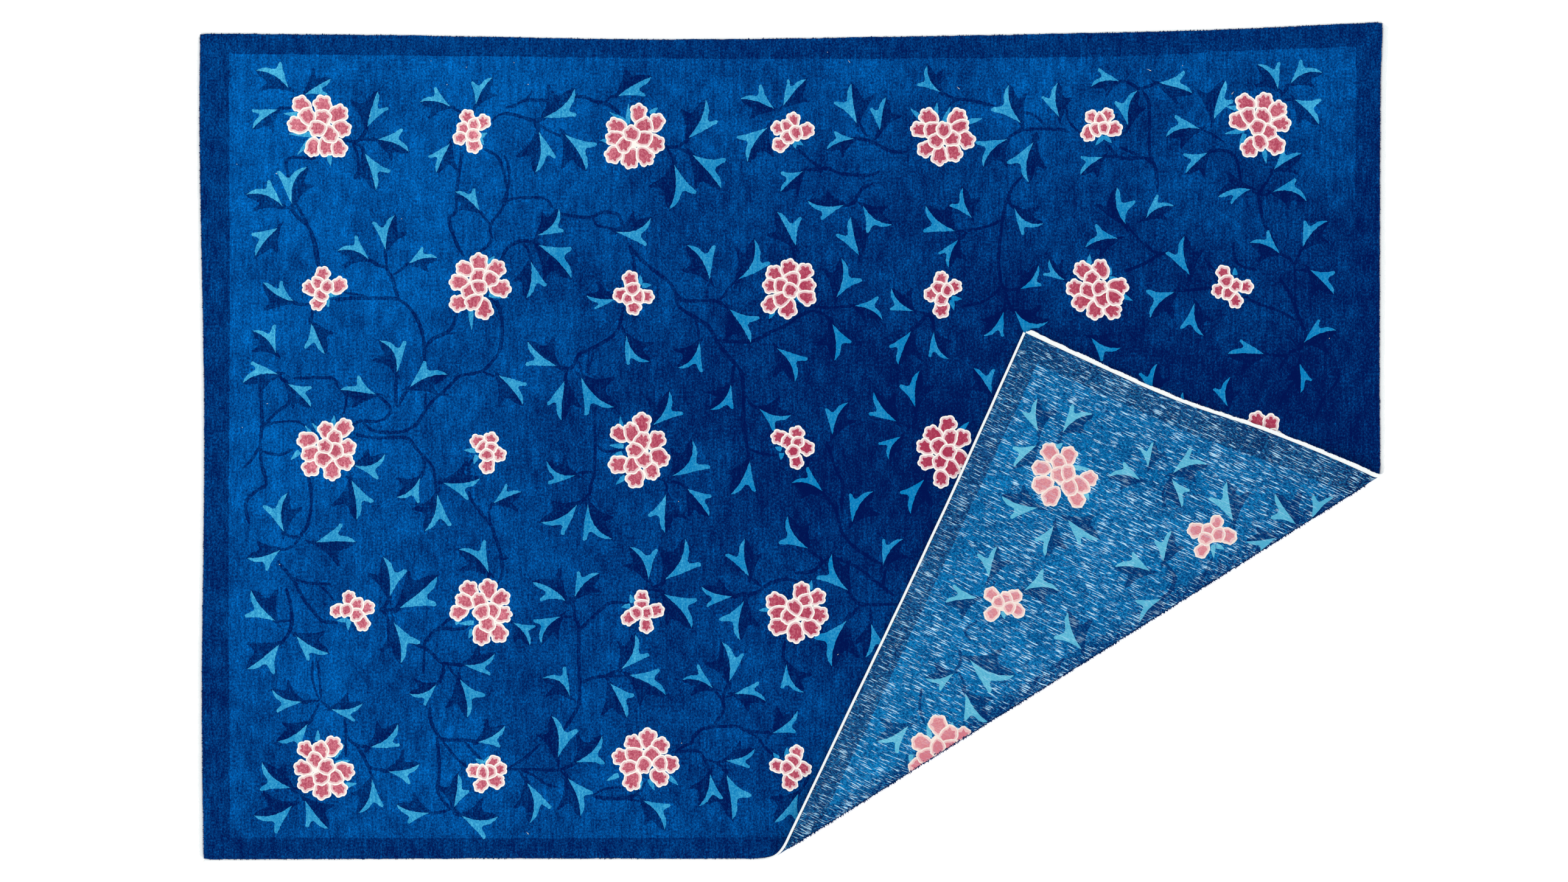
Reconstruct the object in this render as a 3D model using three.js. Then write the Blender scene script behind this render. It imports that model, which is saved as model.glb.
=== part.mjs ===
// A hand-knotted wool room rug in the Chinese art deco manner. It lies flat on the floor with its near right
// corner folded over onto the face, so that the cotton back of that corner shows.
// Millimetres. +X runs along the long side, +Y towards the far long side, +Z up from the floor.
import * as THREE from 'three';

// Cloth
const FOUNDATION = 3;            // cotton warps and wefts, at the back
const PILE = 8;                  // cut wool above the foundation
const THICKNESS = FOUNDATION + PILE;
const PIECE_GAP = 0.3;           // clearance between two pieces that touch on the real rug
const LAYER_GAP = 1;             // clearance between the flap and the face that it lies on

// Fold
const FOLD_ANGLE = THREE.MathUtils.degToRad(32.2);  // of the fold line, from the long side
const FOLD_REACH = 1030;         // from the sheet's own origin to the outermost line of the fold
const ROLL_RADIUS = 25;          // of the half turn, at the cotton back
const SETTLE = 240;              // the flap comes down onto the face over this length
const ROLL_STEPS = 18;
const SETTLE_STEPS = 10;

// End bands and side cords
const BAND_THICKNESS = 3;
const LEFT_BAND = { near: 15.5, far: 10 };   // width at the near and at the far long side
const RIGHT_BAND = { near: 15.5, far: 19.5 };
const CORD_TUCK = 4.5;           // width of the cord under the pile's overhang
const CORD_REACH = 6.5;          // width of the cord that stands out of the pile
const CORD_HEIGHT = 6;
const CORD_BEVEL = 1.6;          // rounds the cord's corners

// Steps along the edges
const EDGE_STEP = 150;           // longest straight stretch of an edge
const FOLD_CLEAR = 60;           // square sections stay this far from the slanting ones at the fold

// The pile's outline in the flat sheet: one row where each edge bends a little. "at" runs along the edge and
// "edge" is the edge's place across it.
const EDGES = {
  top: [
    { at: -1778, edge: 1226 },
    { at: -1220, edge: 1221 },
    { at: -400, edge: 1208 },
    { at: 420, edge: 1218 },
    { at: 1240, edge: 1236 },
    { at: 1776, edge: 1260 },
  ],
  bottom: [
    { at: -1767, edge: -1257 },
    { at: -900, edge: -1254 },
    { at: 100, edge: -1255 },
    { at: 1070, edge: -1257 },
    { at: 1708, edge: -1271 },
  ],
  left: [
    { at: -1257, edge: -1767 },
    { at: -760, edge: -1772 },
    { at: 60, edge: -1765 },
    { at: 890, edge: -1779 },
    { at: 1226, edge: -1778 },
  ],
  right: [
    { at: -1271, edge: 1708 },
    { at: -1050, edge: 1711 },
    { at: -770, edge: 1721 },
    { at: -490, edge: 1753 },
    { at: -200, edge: 1768 },
    { at: 230, edge: 1767 },
    { at: 1050, edge: 1770 },
    { at: 1260, edge: 1776 },
  ],
};

// Section of the cloth's rim, from the back up: how far it lies inside the outline on the long sides, where
// the pile hangs over the side cord, and on the short ends.
const RIM = [
  { height: 0, side: CORD_TUCK + PIECE_GAP, end: 0 },
  { height: BAND_THICKNESS, side: CORD_TUCK + PIECE_GAP, end: 0 },
  { height: CORD_HEIGHT + PIECE_GAP, side: CORD_TUCK + PIECE_GAP, end: 0 },
  { height: CORD_HEIGHT + 2 * PIECE_GAP, side: 0.5, end: 0 },
  { height: THICKNESS - 2.5, side: 0, end: 0 },
  { height: THICKNESS - 0.8, side: 1, end: 1 },
  { height: THICKNESS, side: 3, end: 3 },
];

const WOOL = new THREE.MeshStandardMaterial({ color: 0x0a4a8f, roughness: 0.95, metalness: 0 });
const COTTON = new THREE.MeshStandardMaterial({ color: 0xf4f3ee, roughness: 0.9, metalness: 0 });

// Smooth curve through an edge's rows, with each row's slope taken from its two neighbours.
function edgeAt(rows, at) {
  const last = rows.length - 1;
  const slope = (i) => {
    const before = rows[Math.max(i - 1, 0)];
    const after = rows[Math.min(i + 1, last)];
    return (after.edge - before.edge) / (after.at - before.at);
  };
  const i = Math.min(Math.max(rows.findLastIndex((row) => row.at <= at), 0), last - 1);
  const span = rows[i + 1].at - rows[i].at;
  const t = (at - rows[i].at) / span;
  const rise = rows[i + 1].edge - rows[i].edge;
  const bend = t * (1 - t) * ((slope(i) * span - rise) * (1 - t) - (slope(i + 1) * span - rise) * t);
  return rows[i].edge + rise * t + bend;
}

// Each side of the sheet: which way is outwards, and whether it runs along X.
const SIDES = {
  top: { alongX: true, outward: 1 },
  bottom: { alongX: true, outward: -1 },
  left: { alongX: false, outward: -1 },
  right: { alongX: false, outward: 1 },
};

// The point of the flat sheet at a place along a side, a distance outside the pile's outline.
function onSide(name, at, outside) {
  const across = edgeAt(EDGES[name], at) + SIDES[name].outward * outside;
  return SIDES[name].alongX ? [at, across] : [across, at];
}

// Distance of a flat point beyond the line where the roll starts.
const FOLD_NORMAL = [Math.sin(FOLD_ANGLE), -Math.cos(FOLD_ANGLE)];
const ROLL_START = FOLD_REACH - ROLL_RADIUS;
const beyondFold = ([x, y]) => x * FOLD_NORMAL[0] + y * FOLD_NORMAL[1] - ROLL_START;

// Where a side, or a line outside it, crosses the line that lies "beyond" past the start of the roll.
function crossing(name, beyond, outside) {
  const { alongX } = SIDES[name];
  const [mine, other] = alongX ? FOLD_NORMAL : [FOLD_NORMAL[1], FOLD_NORMAL[0]];
  let at = 0;
  for (let pass = 0; pass < 20; pass += 1) {
    const point = onSide(name, at, outside);
    at = (beyond + ROLL_START - other * point[alongX ? 1 : 0]) / mine;
  }
  return onSide(name, at, outside);
}

// The cloth keeps its length along the middle of its foundation, so the roll takes up this much of it.
const ROLL_NEUTRAL = ROLL_RADIUS - FOUNDATION / 2;
const ROLL_LENGTH = Math.PI * ROLL_NEUTRAL;
const FLAP_HEIGHT = 2 * THICKNESS + LAYER_GAP;

// The true place of a flat point that lies "height" above the back: unmoved in the lower layer, round the
// roll, then on the flap, which comes down in half a cosine wave and lies with its back up.
function folded([x, y], height) {
  const beyond = beyondFold([x, y]);
  if (beyond <= 0) return new THREE.Vector3(x, y, height);
  let reach;
  let z;
  if (beyond < ROLL_LENGTH) {
    const turn = beyond / ROLL_NEUTRAL;
    reach = (ROLL_RADIUS - height) * Math.sin(turn);
    z = ROLL_RADIUS - (ROLL_RADIUS - height) * Math.cos(turn);
  } else {
    const run = beyond - ROLL_LENGTH;
    const drop = 2 * ROLL_RADIUS - FLAP_HEIGHT;
    const phase = Math.PI * Math.min(run / SETTLE, 1);
    const slope = (drop * Math.PI * Math.sin(phase)) / (2 * SETTLE);
    const along = Math.hypot(1, slope);
    reach = -run + (height * slope) / along;
    z = FLAP_HEIGHT + (drop * (1 + Math.cos(phase))) / 2 - height / along;
  }
  const move = reach - beyond;
  return new THREE.Vector3(x + move * FOLD_NORMAL[0], y + move * FOLD_NORMAL[1], z);
}

// Distances past the start of the roll at which the cloth bends: round the roll, then down to the face.
const BENDS = [];
for (let i = 0; i <= ROLL_STEPS; i += 1) BENDS.push((ROLL_LENGTH * i) / ROLL_STEPS);
for (let i = 1; i <= SETTLE_STEPS; i += 1) BENDS.push(ROLL_LENGTH + (SETTLE * i) / SETTLE_STEPS);

// Even steps strictly between two places along an edge.
function between(from, to) {
  const count = Math.ceil(Math.abs(to - from) / EDGE_STEP);
  return Array.from({ length: count - 1 }, (_, i) => from + ((to - from) * (i + 1)) / count);
}

// The stations of a side that the fold crosses, from the end in the lower layer to the end on the flap. A
// station is a function from a distance outside the outline to a flat point.
function foldedStations(name, lowerEnd, flapEnd) {
  const axis = SIDES[name].alongX ? 0 : 1;
  const square = (at) => (outside) => onSide(name, at, outside);
  const heading = Math.sign(flapEnd - lowerEnd);
  const firstBend = crossing(name, BENDS[0], 0)[axis] - heading * FOLD_CLEAR;
  const lastBend = crossing(name, BENDS.at(-1), 0)[axis] + heading * FOLD_CLEAR;
  return {
    lower: [...between(lowerEnd, firstBend), firstBend].map(square),
    bends: BENDS.map((beyond) => (outside) => crossing(name, beyond, outside)),
    flap: [lastBend, ...between(lastBend, flapEnd)].map(square),
  };
}

const lastAt = (name) => EDGES[name].at(-1).at;
const firstAt = (name) => EDGES[name][0].at;
const RUNS = {
  bottom: foldedStations('bottom', firstAt('bottom'), lastAt('bottom')),
  right: foldedStations('right', lastAt('right'), firstAt('right')),
  top: between(lastAt('top'), firstAt('top')).map((at) => (outside) => onSide('top', at, outside)),
  left: between(lastAt('left'), firstAt('left')).map((at) => (outside) => onSide('left', at, outside)),
};

// Corner of the sheet with its long side and short end moved outside the outline by their own amounts.
function corner(side, end, sideOutside, endOutside) {
  let point = [edgeAt(EDGES[end], EDGES[side][0].edge), EDGES[side][0].edge];
  for (let pass = 0; pass < 10; pass += 1) {
    point = [onSide(end, point[1], endOutside)[0], onSide(side, point[0], sideOutside)[1]];
  }
  return point;
}

// One closed body from rings of points with the same count: walls between neighbouring rings, and a cap of
// the same triangles on the first and on the last.
function closedBody(rings, cap) {
  const count = rings[0].length;
  const positions = rings.flat().flatMap((p) => [p.x, p.y, p.z]);
  const top = (rings.length - 1) * count;
  const faces = cap.flatMap(([a, b, c]) => [[c, b, a], [top + a, top + b, top + c]]);
  for (let k = 0; k + 1 < rings.length; k += 1) {
    for (let j = 0; j < count; j += 1) {
      const a = k * count + j;
      const b = k * count + ((j + 1) % count);
      faces.push([a, b, b + count], [a, b + count, a + count]);
    }
  }
  const geometry = new THREE.BufferGeometry();
  geometry.setAttribute('position', new THREE.Float32BufferAttribute(positions, 3));
  geometry.setIndex(faces.flat());
  if (enclosedVolume(geometry) < 0) geometry.setIndex(faces.map(([a, b, c]) => [a, c, b]).flat());
  geometry.computeVertexNormals();
  return geometry;
}

// Sum of the signed volumes between the origin and each triangle.
function enclosedVolume(geometry) {
  const points = geometry.attributes.position;
  const index = geometry.index.array;
  const vertex = (i) => new THREE.Vector3().fromBufferAttribute(points, i);
  let sum = 0;
  for (let i = 0; i < index.length; i += 3) {
    sum += vertex(index[i]).dot(vertex(index[i + 1]).cross(vertex(index[i + 2])));
  }
  return sum / 6;
}

// Triangles over a flat polygon, given as places in a loop of flat points.
function fill(loop, places) {
  const outline = places.map((i) => new THREE.Vector2(...loop[i]));
  return THREE.ShapeUtils.triangulateShape(outline, []).map((face) => face.map((i) => places[i]));
}

// The cloth: its rim's rings all have the same stations, so one set of triangles covers back and face.
function rugBody() {
  const { bottom, right, top, left } = RUNS;
  const rimLoop = ({ side, end }) => [
    corner('bottom', 'left', -side, -end),
    ...[...bottom.lower, ...bottom.bends, ...bottom.flap].map((station) => station(-side)),
    corner('bottom', 'right', -side, -end),
    ...[...right.lower, ...right.bends, ...right.flap].reverse().map((station) => station(-end)),
    corner('top', 'right', -side, -end),
    ...top.map((station) => station(-side)),
    corner('top', 'left', -side, -end),
    ...left.map((station) => station(-end)),
  ];
  const loops = RIM.map(rimLoop);
  const rings = loops.map((loop, k) => loop.map((point) => folded(point, RIM[k].height)));

  const bottomBend = 1 + bottom.lower.length;
  const tip = bottomBend + BENDS.length + bottom.flap.length;
  const rightBend = tip + right.flap.length + BENDS.length;
  const places = (from, to) => Array.from({ length: to - from + 1 }, (_, i) => from + i);
  const count = loops[0].length;
  const lowerLayer = fill(loops[0], [...places(0, bottomBend), ...places(rightBend, count - 1)]);
  const strips = BENDS.slice(1).flatMap((_, i) => {
    const near = bottomBend + i;
    const far = rightBend - i;
    return [[near, near + 1, far - 1], [near, far - 1, far]];
  });
  const lastBend = BENDS.length - 1;
  const flapEnd = fill(loops[0], places(bottomBend + lastBend, rightBend - lastBend));
  return closedBody(rings, [...lowerLayer, ...strips, ...flapEnd]);
}

// A narrow piece along an edge: its section is a convex loop of {outside, height} at each station.
function edging(stations, sectionAt) {
  const rings = stations.map((station) => sectionAt(station)
    .map(({ outside, height }) => folded(station(outside), height)));
  const cap = rings[0].slice(2).map((_, i) => [0, i + 1, i + 2]);
  return closedBody(rings, cap);
}

// Flat-woven end band: it spans the width of the cloth and its side cords, and lies level with the back.
function endBand(name, width) {
  const square = (at) => (outside) => onSide(name, at, outside);
  const near = firstAt(name);
  const far = lastAt(name);
  const run = RUNS[name];
  const inner = run.lower ? [...run.lower, ...run.bends, ...run.flap] : run;
  const farEnd = [far + CORD_REACH, far].map(square);
  const nearEnd = [near, near - CORD_REACH].map(square);
  return edging([...farEnd, ...inner, ...nearEnd], (station) => {
    const t = (station(0)[1] - near) / (far - near);
    const outer = PIECE_GAP + THREE.MathUtils.lerp(width.near, width.far, t);
    return [
      { outside: PIECE_GAP, height: 0 },
      { outside: outer, height: 0 },
      { outside: outer, height: BAND_THICKNESS },
      { outside: PIECE_GAP, height: BAND_THICKNESS },
    ];
  });
}

// Overcast side cord: a flattened round section, half of it under the pile's overhang. It stops against the
// end bands.
function sideCord(name) {
  const endGap = PIECE_GAP;
  const square = (at) => (outside) => onSide(name, at, outside);
  const run = RUNS[name];
  const inner = run.lower ? [...run.lower, ...run.bends, ...run.flap] : [...run].reverse();
  const stations = [square(firstAt(name) + endGap), ...inner, square(lastAt(name) - endGap)];
  const section = [
    { outside: -CORD_TUCK, height: CORD_BEVEL },
    { outside: -CORD_TUCK + CORD_BEVEL, height: 0 },
    { outside: CORD_REACH - CORD_BEVEL, height: 0 },
    { outside: CORD_REACH, height: CORD_BEVEL },
    { outside: CORD_REACH, height: CORD_HEIGHT - CORD_BEVEL },
    { outside: CORD_REACH - CORD_BEVEL, height: CORD_HEIGHT },
    { outside: -CORD_TUCK + CORD_BEVEL, height: CORD_HEIGHT },
    { outside: -CORD_TUCK, height: CORD_HEIGHT - CORD_BEVEL },
  ];
  return edging(stations, () => section);
}

function piece(name, geometry, material) {
  const mesh = new THREE.Mesh(geometry, material);
  mesh.name = name;
  return mesh;
}

const group = new THREE.Group();
group.add(piece('rug_body', rugBody(), WOOL));
group.add(piece('end_band_left', endBand('left', LEFT_BAND), COTTON));
group.add(piece('end_band_right', endBand('right', RIGHT_BAND), COTTON));
group.add(piece('side_cord_top', sideCord('top'), COTTON));
group.add(piece('side_cord_bottom', sideCord('bottom'), COTTON));

// The origin is the middle of the whole rug's box, on the floor.
const box = new THREE.Box3().setFromObject(group);
group.position.set(-(box.min.x + box.max.x) / 2, -(box.min.y + box.max.y) / 2, -box.min.z);

export default group;
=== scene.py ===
"""Looks of a hand-knotted wool room rug in the Chinese art deco manner, laid on the floor with its near right
corner folded over onto the face.

Lengths in the tables are millimetres of the flat sheet, before the corner is folded. lay() folds them.
"""

import math

import bpy
import numpy as np
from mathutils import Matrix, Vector, geometry


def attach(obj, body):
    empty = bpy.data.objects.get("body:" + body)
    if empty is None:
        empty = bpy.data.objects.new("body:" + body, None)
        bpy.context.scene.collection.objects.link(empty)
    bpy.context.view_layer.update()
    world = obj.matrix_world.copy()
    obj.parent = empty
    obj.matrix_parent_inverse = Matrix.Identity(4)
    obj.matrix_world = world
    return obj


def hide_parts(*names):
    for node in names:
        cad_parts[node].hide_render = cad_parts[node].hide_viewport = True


bl_info = {
    "name": "Folded art deco rug",
    "version": (1, 0, 0),
    "blender": (4, 5, 0),
    "location": "View3D > Sidebar > Rug",
    "description": "Makes a hand-knotted wool rug with one corner folded over",
    "category": "Add Mesh",
}

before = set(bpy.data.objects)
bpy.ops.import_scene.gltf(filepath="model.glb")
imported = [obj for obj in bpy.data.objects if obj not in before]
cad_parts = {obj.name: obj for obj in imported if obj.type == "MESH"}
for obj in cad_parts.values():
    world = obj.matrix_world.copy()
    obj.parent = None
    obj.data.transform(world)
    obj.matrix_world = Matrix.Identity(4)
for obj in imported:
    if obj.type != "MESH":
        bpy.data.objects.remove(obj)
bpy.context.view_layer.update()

# Sizes in mm, as in the solid unless a comment says otherwise
FOUNDATION = 3.0  # cotton warps and wefts, at the back
THICKNESS = 11.0  # foundation and pile
PIECE_GAP = 0.3  # between the rug and its bands and cords
FOLD_ANGLE = math.radians(32.2)
FOLD_REACH = 1030.0  # from the sheet's origin to the outermost line of the roll
ROLL_RADIUS = 25.0
SETTLE = 240.0  # the flap comes down onto the face over this length
BAND_THICKNESS = 3.0
CORD_REACH = 6.5  # out from the pile
CORD_HEIGHT = 6.0
# How far the cords reach in under the pile: 2.5 mm less than the solid's, so that the flap's cord looks as
# thin as in the photo
CORD_TUCK = 2.0
# Width of the end bands at places along them, from the near long side to the far one
LEFT_BAND = [(-1257, 15.5), (1226, 10.0)]
RIGHT_BAND = [(-1271, 14.5), (-1000, 12.0), (-500, 11.0), (-150, 13.0), (50, 16.5), (1260, 19.5)]

FOLD_NORMAL = np.array([math.sin(FOLD_ANGLE), -math.cos(FOLD_ANGLE)])
ROLL_START = FOLD_REACH - ROLL_RADIUS
ROLL_NEUTRAL = ROLL_RADIUS - FOUNDATION / 2
ROLL_LENGTH = math.pi * ROLL_NEUTRAL
FLAP_HEIGHT = 2 * THICKNESS + 1.0  # of its back, which is on top
SHEET_SHIFT = np.array([-2.853, -1.5])  # from the flat sheet's origin to the middle of the whole rug's box

# The pile's outline, as in the solid: (place along the edge, the edge's place across it)
EDGES = {
    "top": [(-1778, 1226), (-1220, 1221), (-400, 1208), (420, 1218), (1240, 1236), (1776, 1260)],
    "bottom": [(-1767, -1257), (-900, -1254), (100, -1255), (1070, -1257), (1708, -1271)],
    "left": [(-1257, -1767), (-760, -1772), (60, -1765), (890, -1779), (1226, -1778)],
    "right": [
        (-1271, 1708), (-1050, 1711), (-770, 1721), (-490, 1753),
        (-200, 1768), (230, 1767), (1050, 1770), (1260, 1776),
    ],
}

# Section of the cloth's rim from the back up: height, how far inside the outline on the long sides and on
# the short ends, and how much of the pile's waviness it takes. The first and last rows lie flat, so that
# the rim's shading doesn't run out over the sheet.
RIM = [
    (0.0, CORD_TUCK + 5.0, 5.0, 0.0),
    (0.0, CORD_TUCK + PIECE_GAP, 0.0, 0.0),
    (BAND_THICKNESS, CORD_TUCK + PIECE_GAP, 0.0, 0.0),
    (CORD_HEIGHT + PIECE_GAP, CORD_TUCK + PIECE_GAP, 0.0, 0.0),
    (CORD_HEIGHT + 2 * PIECE_GAP, 0.5, 0.0, 1.0),
    (THICKNESS - 2.5, 0.0, 0.0, 1.0),
    (THICKNESS - 0.8, 1.0, 1.0, 1.0),
    (THICKNESS, 3.0, 3.0, 1.0),
    (THICKNESS, 7.0, 7.0, 1.0),
]

# Inner edge of the navy border, read as the outline is
FIELD = {
    "top": [
        (-1690, 1165), (-900, 1157), (-200, 1150), (500, 1152), (1000, 1158), (1300, 1172), (1697, 1187),
    ],
    "bottom": [(-1688, -1191), (-800, -1193), (0, -1190), (900, -1190), (1640, -1198)],
    "left": [(-1191, -1688), (-300, -1693), (300, -1689), (1165, -1692)],
    "right": [(-1198, 1640), (-700, 1650), (-300, 1685), (300, 1693), (1187, 1697)],
}

# Leaves: where the lighter half starts and ends, which side of that line it lies on (1 left, -1 right), and
# how far the midrib bows to the left, as a share of its length
LEAVES = [
    (-1513, 1062, -1610, 1115, -1, -.1), (-1462, 1043, -1385, 1090, -1, .05),
    (-1545, 998, -1620, 940, -1, -.03), (-1275, 945, -1245, 1052, -1, .05),
    (-1245, 908, -1150, 870, 1, .06), (-1282, 865, -1250, 755, 1, 0),
    (-1502, 713, -1455, 825, 1, .15), (-1530, 707, -1640, 742, -1, -.12),
    (-1545, 642, -1612, 557, -1, -.03), (-1221, 577, -1193, 680, 1, .05),
    (-1027, 1007, -1118, 1020, -1, -.08), (-949, 1013, -900, 1093, 1, .05),
    (-1028, 895, -1067, 808, -1, 0), (-938, 693, -1013, 750, -1, -.05),
    (-745, 973, -652, 1060, -1, -.09), (-520, 1038, -422, 1095, -1, .07),
    (-760, 930, -772, 808, 1, .08), (-682, 922, -618, 815, 1, .05),
    (-310, 912, -258, 1028, -1, -.07), (-296, 860, -212, 760, 1, 0), (-352, 830, -368, 697, 1, .07),
    (-73, 943, -132, 840, -1, -.07), (-53, 1000, -153, 1030, -1, -.04),
    (-762, 620, -700, 700, -1, -.13), (-527, 630, -422, 672, -1, -.14),
    (13, 588, -43, 690, -1, .02), (-760, 590, -662, 490, 1, .03), (-783, 540, -798, 430, 1, .05),
    (-530, 427, -617, 438, 1, .03), (-706, 226, -793, 300, 1, .04), (-880, 198, -808, 110, 1, .02),
    (-683, 181, -692, 63, -1, 0), (-632, 191, -533, 103, -1, -.08),
    (-497, 318, -425, 240, -1, -.15), (-277, 298, -343, 221, 1, .13),
    (-415, 50, -368, 150, -1, -.09), (-182, 170, -245, 95, 1, .11), (-185, 397, -123, 297, 1, 0),
    (-246, 487, -315, 590, -1, -.08), (-160, 487, -112, 608, -1, -.14), (-97, 98, 0, 80, -1, -.1),
    (-25, 1010, 43, 1088, 1, 0), (195, 957, 180, 1075, 1, 0), (265, 935, 285, 1035, 1, 0),
    (187, 910, 105, 877, -1, -.05), (447, 1050, 408, 1132, 1, .12), (690, 957, 653, 1072, 1, .1),
    (805, 975, 800, 1078, 1, .07), (648, 908, 576, 825, -1, -.1), (727, 900, 713, 778, -1, -.09),
    (542, 672, 515, 763, 1, .07), (493, 632, 403, 710, 1, .08), (215, 708, 302, 652, -1, -.12),
    (155, 710, 48, 723, 1, .08), (203, 558, 178, 675, 1, 0), (33, 812, -33, 750, -1, 0),
    (670, 702, 757, 655, -1, -.18), (985, 1083, 900, 1065, -1, -.1), (1105, 1078, 1205, 1047, 1, 0),
    (1012, 950, 1040, 1055, 1, .1), (1270, 968, 1305, 1085, -1, .08),
    (1463, 1058, 1400, 1133, -1, -.1), (1500, 1075, 1595, 1108, 1, .14),
    (1512, 1028, 1585, 952, 1, .03), (1227, 940, 1125, 915, -1, -.1), (1250, 868, 1185, 805, -1, 0),
    (1450, 818, 1532, 865, 1, 0), (935, 855, 868, 800, -1, -.04), (1005, 653, 978, 765, -1, .15),
    (1065, 670, 1150, 707, 1, .13), (980, 610, 883, 583, -1, -.07), (1380, 757, 1282, 735, 1, -.14),
    (1447, 750, 1548, 722, 1, .14), (1537, 583, 1612, 662, 1, .08),
    (-1271, 547, -1365, 573, -1, -.12), (-1150, 535, -1065, 551, 1, .06),
    (-1497, 422, -1588, 477, -1, .12), (-1550, 265, -1622, 332, -1, -.1),
    (-1545, 202, -1650, 175, -1, -.1), (-1445, 355, -1403, 263, -1, .03),
    (-1513, 172, -1445, 103, 1, 0), (-1252, 143, -1357, 155, -1, .02),
    (-1187, 207, -1240, 303, -1, -.17), (-1148, 163, -1033, 200, 1, .08),
    (-1315, -73, -1222, -38, -1, -.15), (-1323, -117, -1308, -235, 1, .02),
    (-1527, -271, -1515, -155, 1, .1), (-1430, -303, -1310, -303, 1, 0),
    (-1117, -110, -1188, -168, 1, .1), (-1065, -160, -1103, -270, 1, .08),
    (-1047, -125, -937, -112, -1, -.05), (-1538, -327, -1637, -351, 1, .05),
    (-1208, -465, -1228, -348, -1, -.06), (-1178, -501, -1065, -405, -1, 0),
    (-1552, -540, -1625, -447, 1, .05), (-1195, -545, -1175, -667, 1, .05),
    (-910, -396, -1000, -325, -1, -.1), (-1540, -611, -1637, -684, 1, 0),
    (-1490, -584, -1392, -637, -1, -.04), (-1472, -783, -1562, -746, 1, .1),
    (-1383, -805, -1290, -788, -1, -.08), (-1455, -850, -1547, -903, 1, .06),
    (-1267, -920, -1183, -848, -1, -.1), (-1505, -1043, -1592, -965, 1, .08),
    (-1500, -1093, -1617, -1125, 1, .1), (-1463, -1080, -1393, -1165, -1, 0),
    (-1090, -1117, -1188, -1092, 1, .06), (-1213, -992, -1118, -970, -1, -.06),
    (-1262, -1016, -1303, -1118, 1, .1), (-1014, -1100, -1003, -1000, -1, 0),
    (-993, -1125, -882, -1128, -1, -.1), (-1068, -731, -1150, -759, 1, .12),
    (-997, -715, -975, -830, 1, .04), (-985, -672, -892, -637, -1, -.12),
    (-943, -905, -862, -855, -1, -.06), (500, 605, 472, 522, -1, -.06),
    (135, 433, 150, 550, -1, -.08), (190, 407, 273, 365, 1, .1), (365, 392, 300, 460, 1, .1),
    (122, 354, 129, 243, 1, .05), (358, 330, 320, 230, -1, 0), (428, 330, 473, 247, -1, -.12),
    (-45, 280, 10, 179, 1, .1), (372, 103, 385, 212, 1, .05), (602, 144, 547, 220, -1, 0),
    (315, 60, 247, 147, 1, .05), (123, 20, 170, 117, 1, .08), (330, 15, 292, -55, -1, -.12),
    (637, 388, 578, 317, 1, .06), (671, 392, 772, 360, -1, -.18), (687, 457, 742, 530, -1, -.08),
    (820, 485, 774, 548, 1, .08), (1197, 500, 1181, 618, 1, .06), (1467, 565, 1378, 597, -1, -.08),
    (1153, 450, 1078, 370, -1, -.08), (1212, 415, 1240, 317, -1, -.11),
    (1420, 263, 1310, 262, -1, 0), (1560, 515, 1630, 442, 1, 0), (1540, 297, 1638, 334, 1, .06),
    (1528, 233, 1530, 145, 1, 0), (1311, 105, 1320, 193, 1, .12), (900, 312, 990, 281, -1, -.1),
    (1085, 135, 1100, 233, 1, .05), (1200, 60, 1176, 148, 1, 0), (-649, -102, -737, -58, 1, .17),
    (-895, -185, -812, -152, 1, 0), (-645, -190, -755, -243, 1, .1),
    (-612, -190, -540, -293, -1, -.14), (-360, -105, -298, 5, -1, -.17),
    (-313, -143, -248, -225, 1, 0), (-378, -160, -380, -275, -1, 0),
    (-125, -60, -183, -160, 1, .04), (-430, -415, -487, -318, -1, -.1),
    (-380, -415, -320, -293, -1, -.1), (-128, -407, -140, -293, 1, .05),
    (-680, -480, -778, -423, 1, -.12), (-652, -467, -577, -397, 1, .07),
    (-693, -527, -752, -610, -1, -.14), (-837, -545, -787, -613, 1, .07),
    (-180, -467, -272, -437, 1, .05), (-143, -480, -155, -598, -1, -.06),
    (-383, -460, -300, -562, 1, .05), (93, -150, 0, -125, -1, -.1), (182, -243, 245, -150, 1, .08),
    (398, -115, 358, -218, -1, -.04), (275, -372, 335, -294, 1, .08), (170, -448, 122, -338, 1, .1),
    (50, -322, -12, -225, 1, .1), (-512, -685, -470, -579, -1, -.1),
    (-487, -703, -378, -763, 1, .03), (-545, -727, -495, -832, 1, 0),
    (-667, -768, -750, -713, -1, -.2), (-703, -950, -722, -825, -1, -.08),
    (-648, -965, -570, -887, -1, -.08), (-795, -1028, -787, -1147, 1, .12),
    (-673, -1013, -635, -1127, 1, .06), (-447, -1080, -382, -1168, 1, .1),
    (-245, -1000, -278, -1097, 1, .08), (-195, -1003, -178, -1137, 1, 0),
    (-197, -960, -110, -925, -1, -.07), (-172, -760, -77, -782, 1, .08),
    (-237, -742, -328, -717, -1, -.1), (-187, -722, -210, -603, -1, -.08),
    (165, -540, 121, -677, -1, -.07), (240, -550, 222, -650, 1, .05),
    (-15, -670, 37, -755, -1, -.12), (-57, -877, 18, -810, -1, -.05), (20, -1060, -52, -1145, 1, 0),
]

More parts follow.
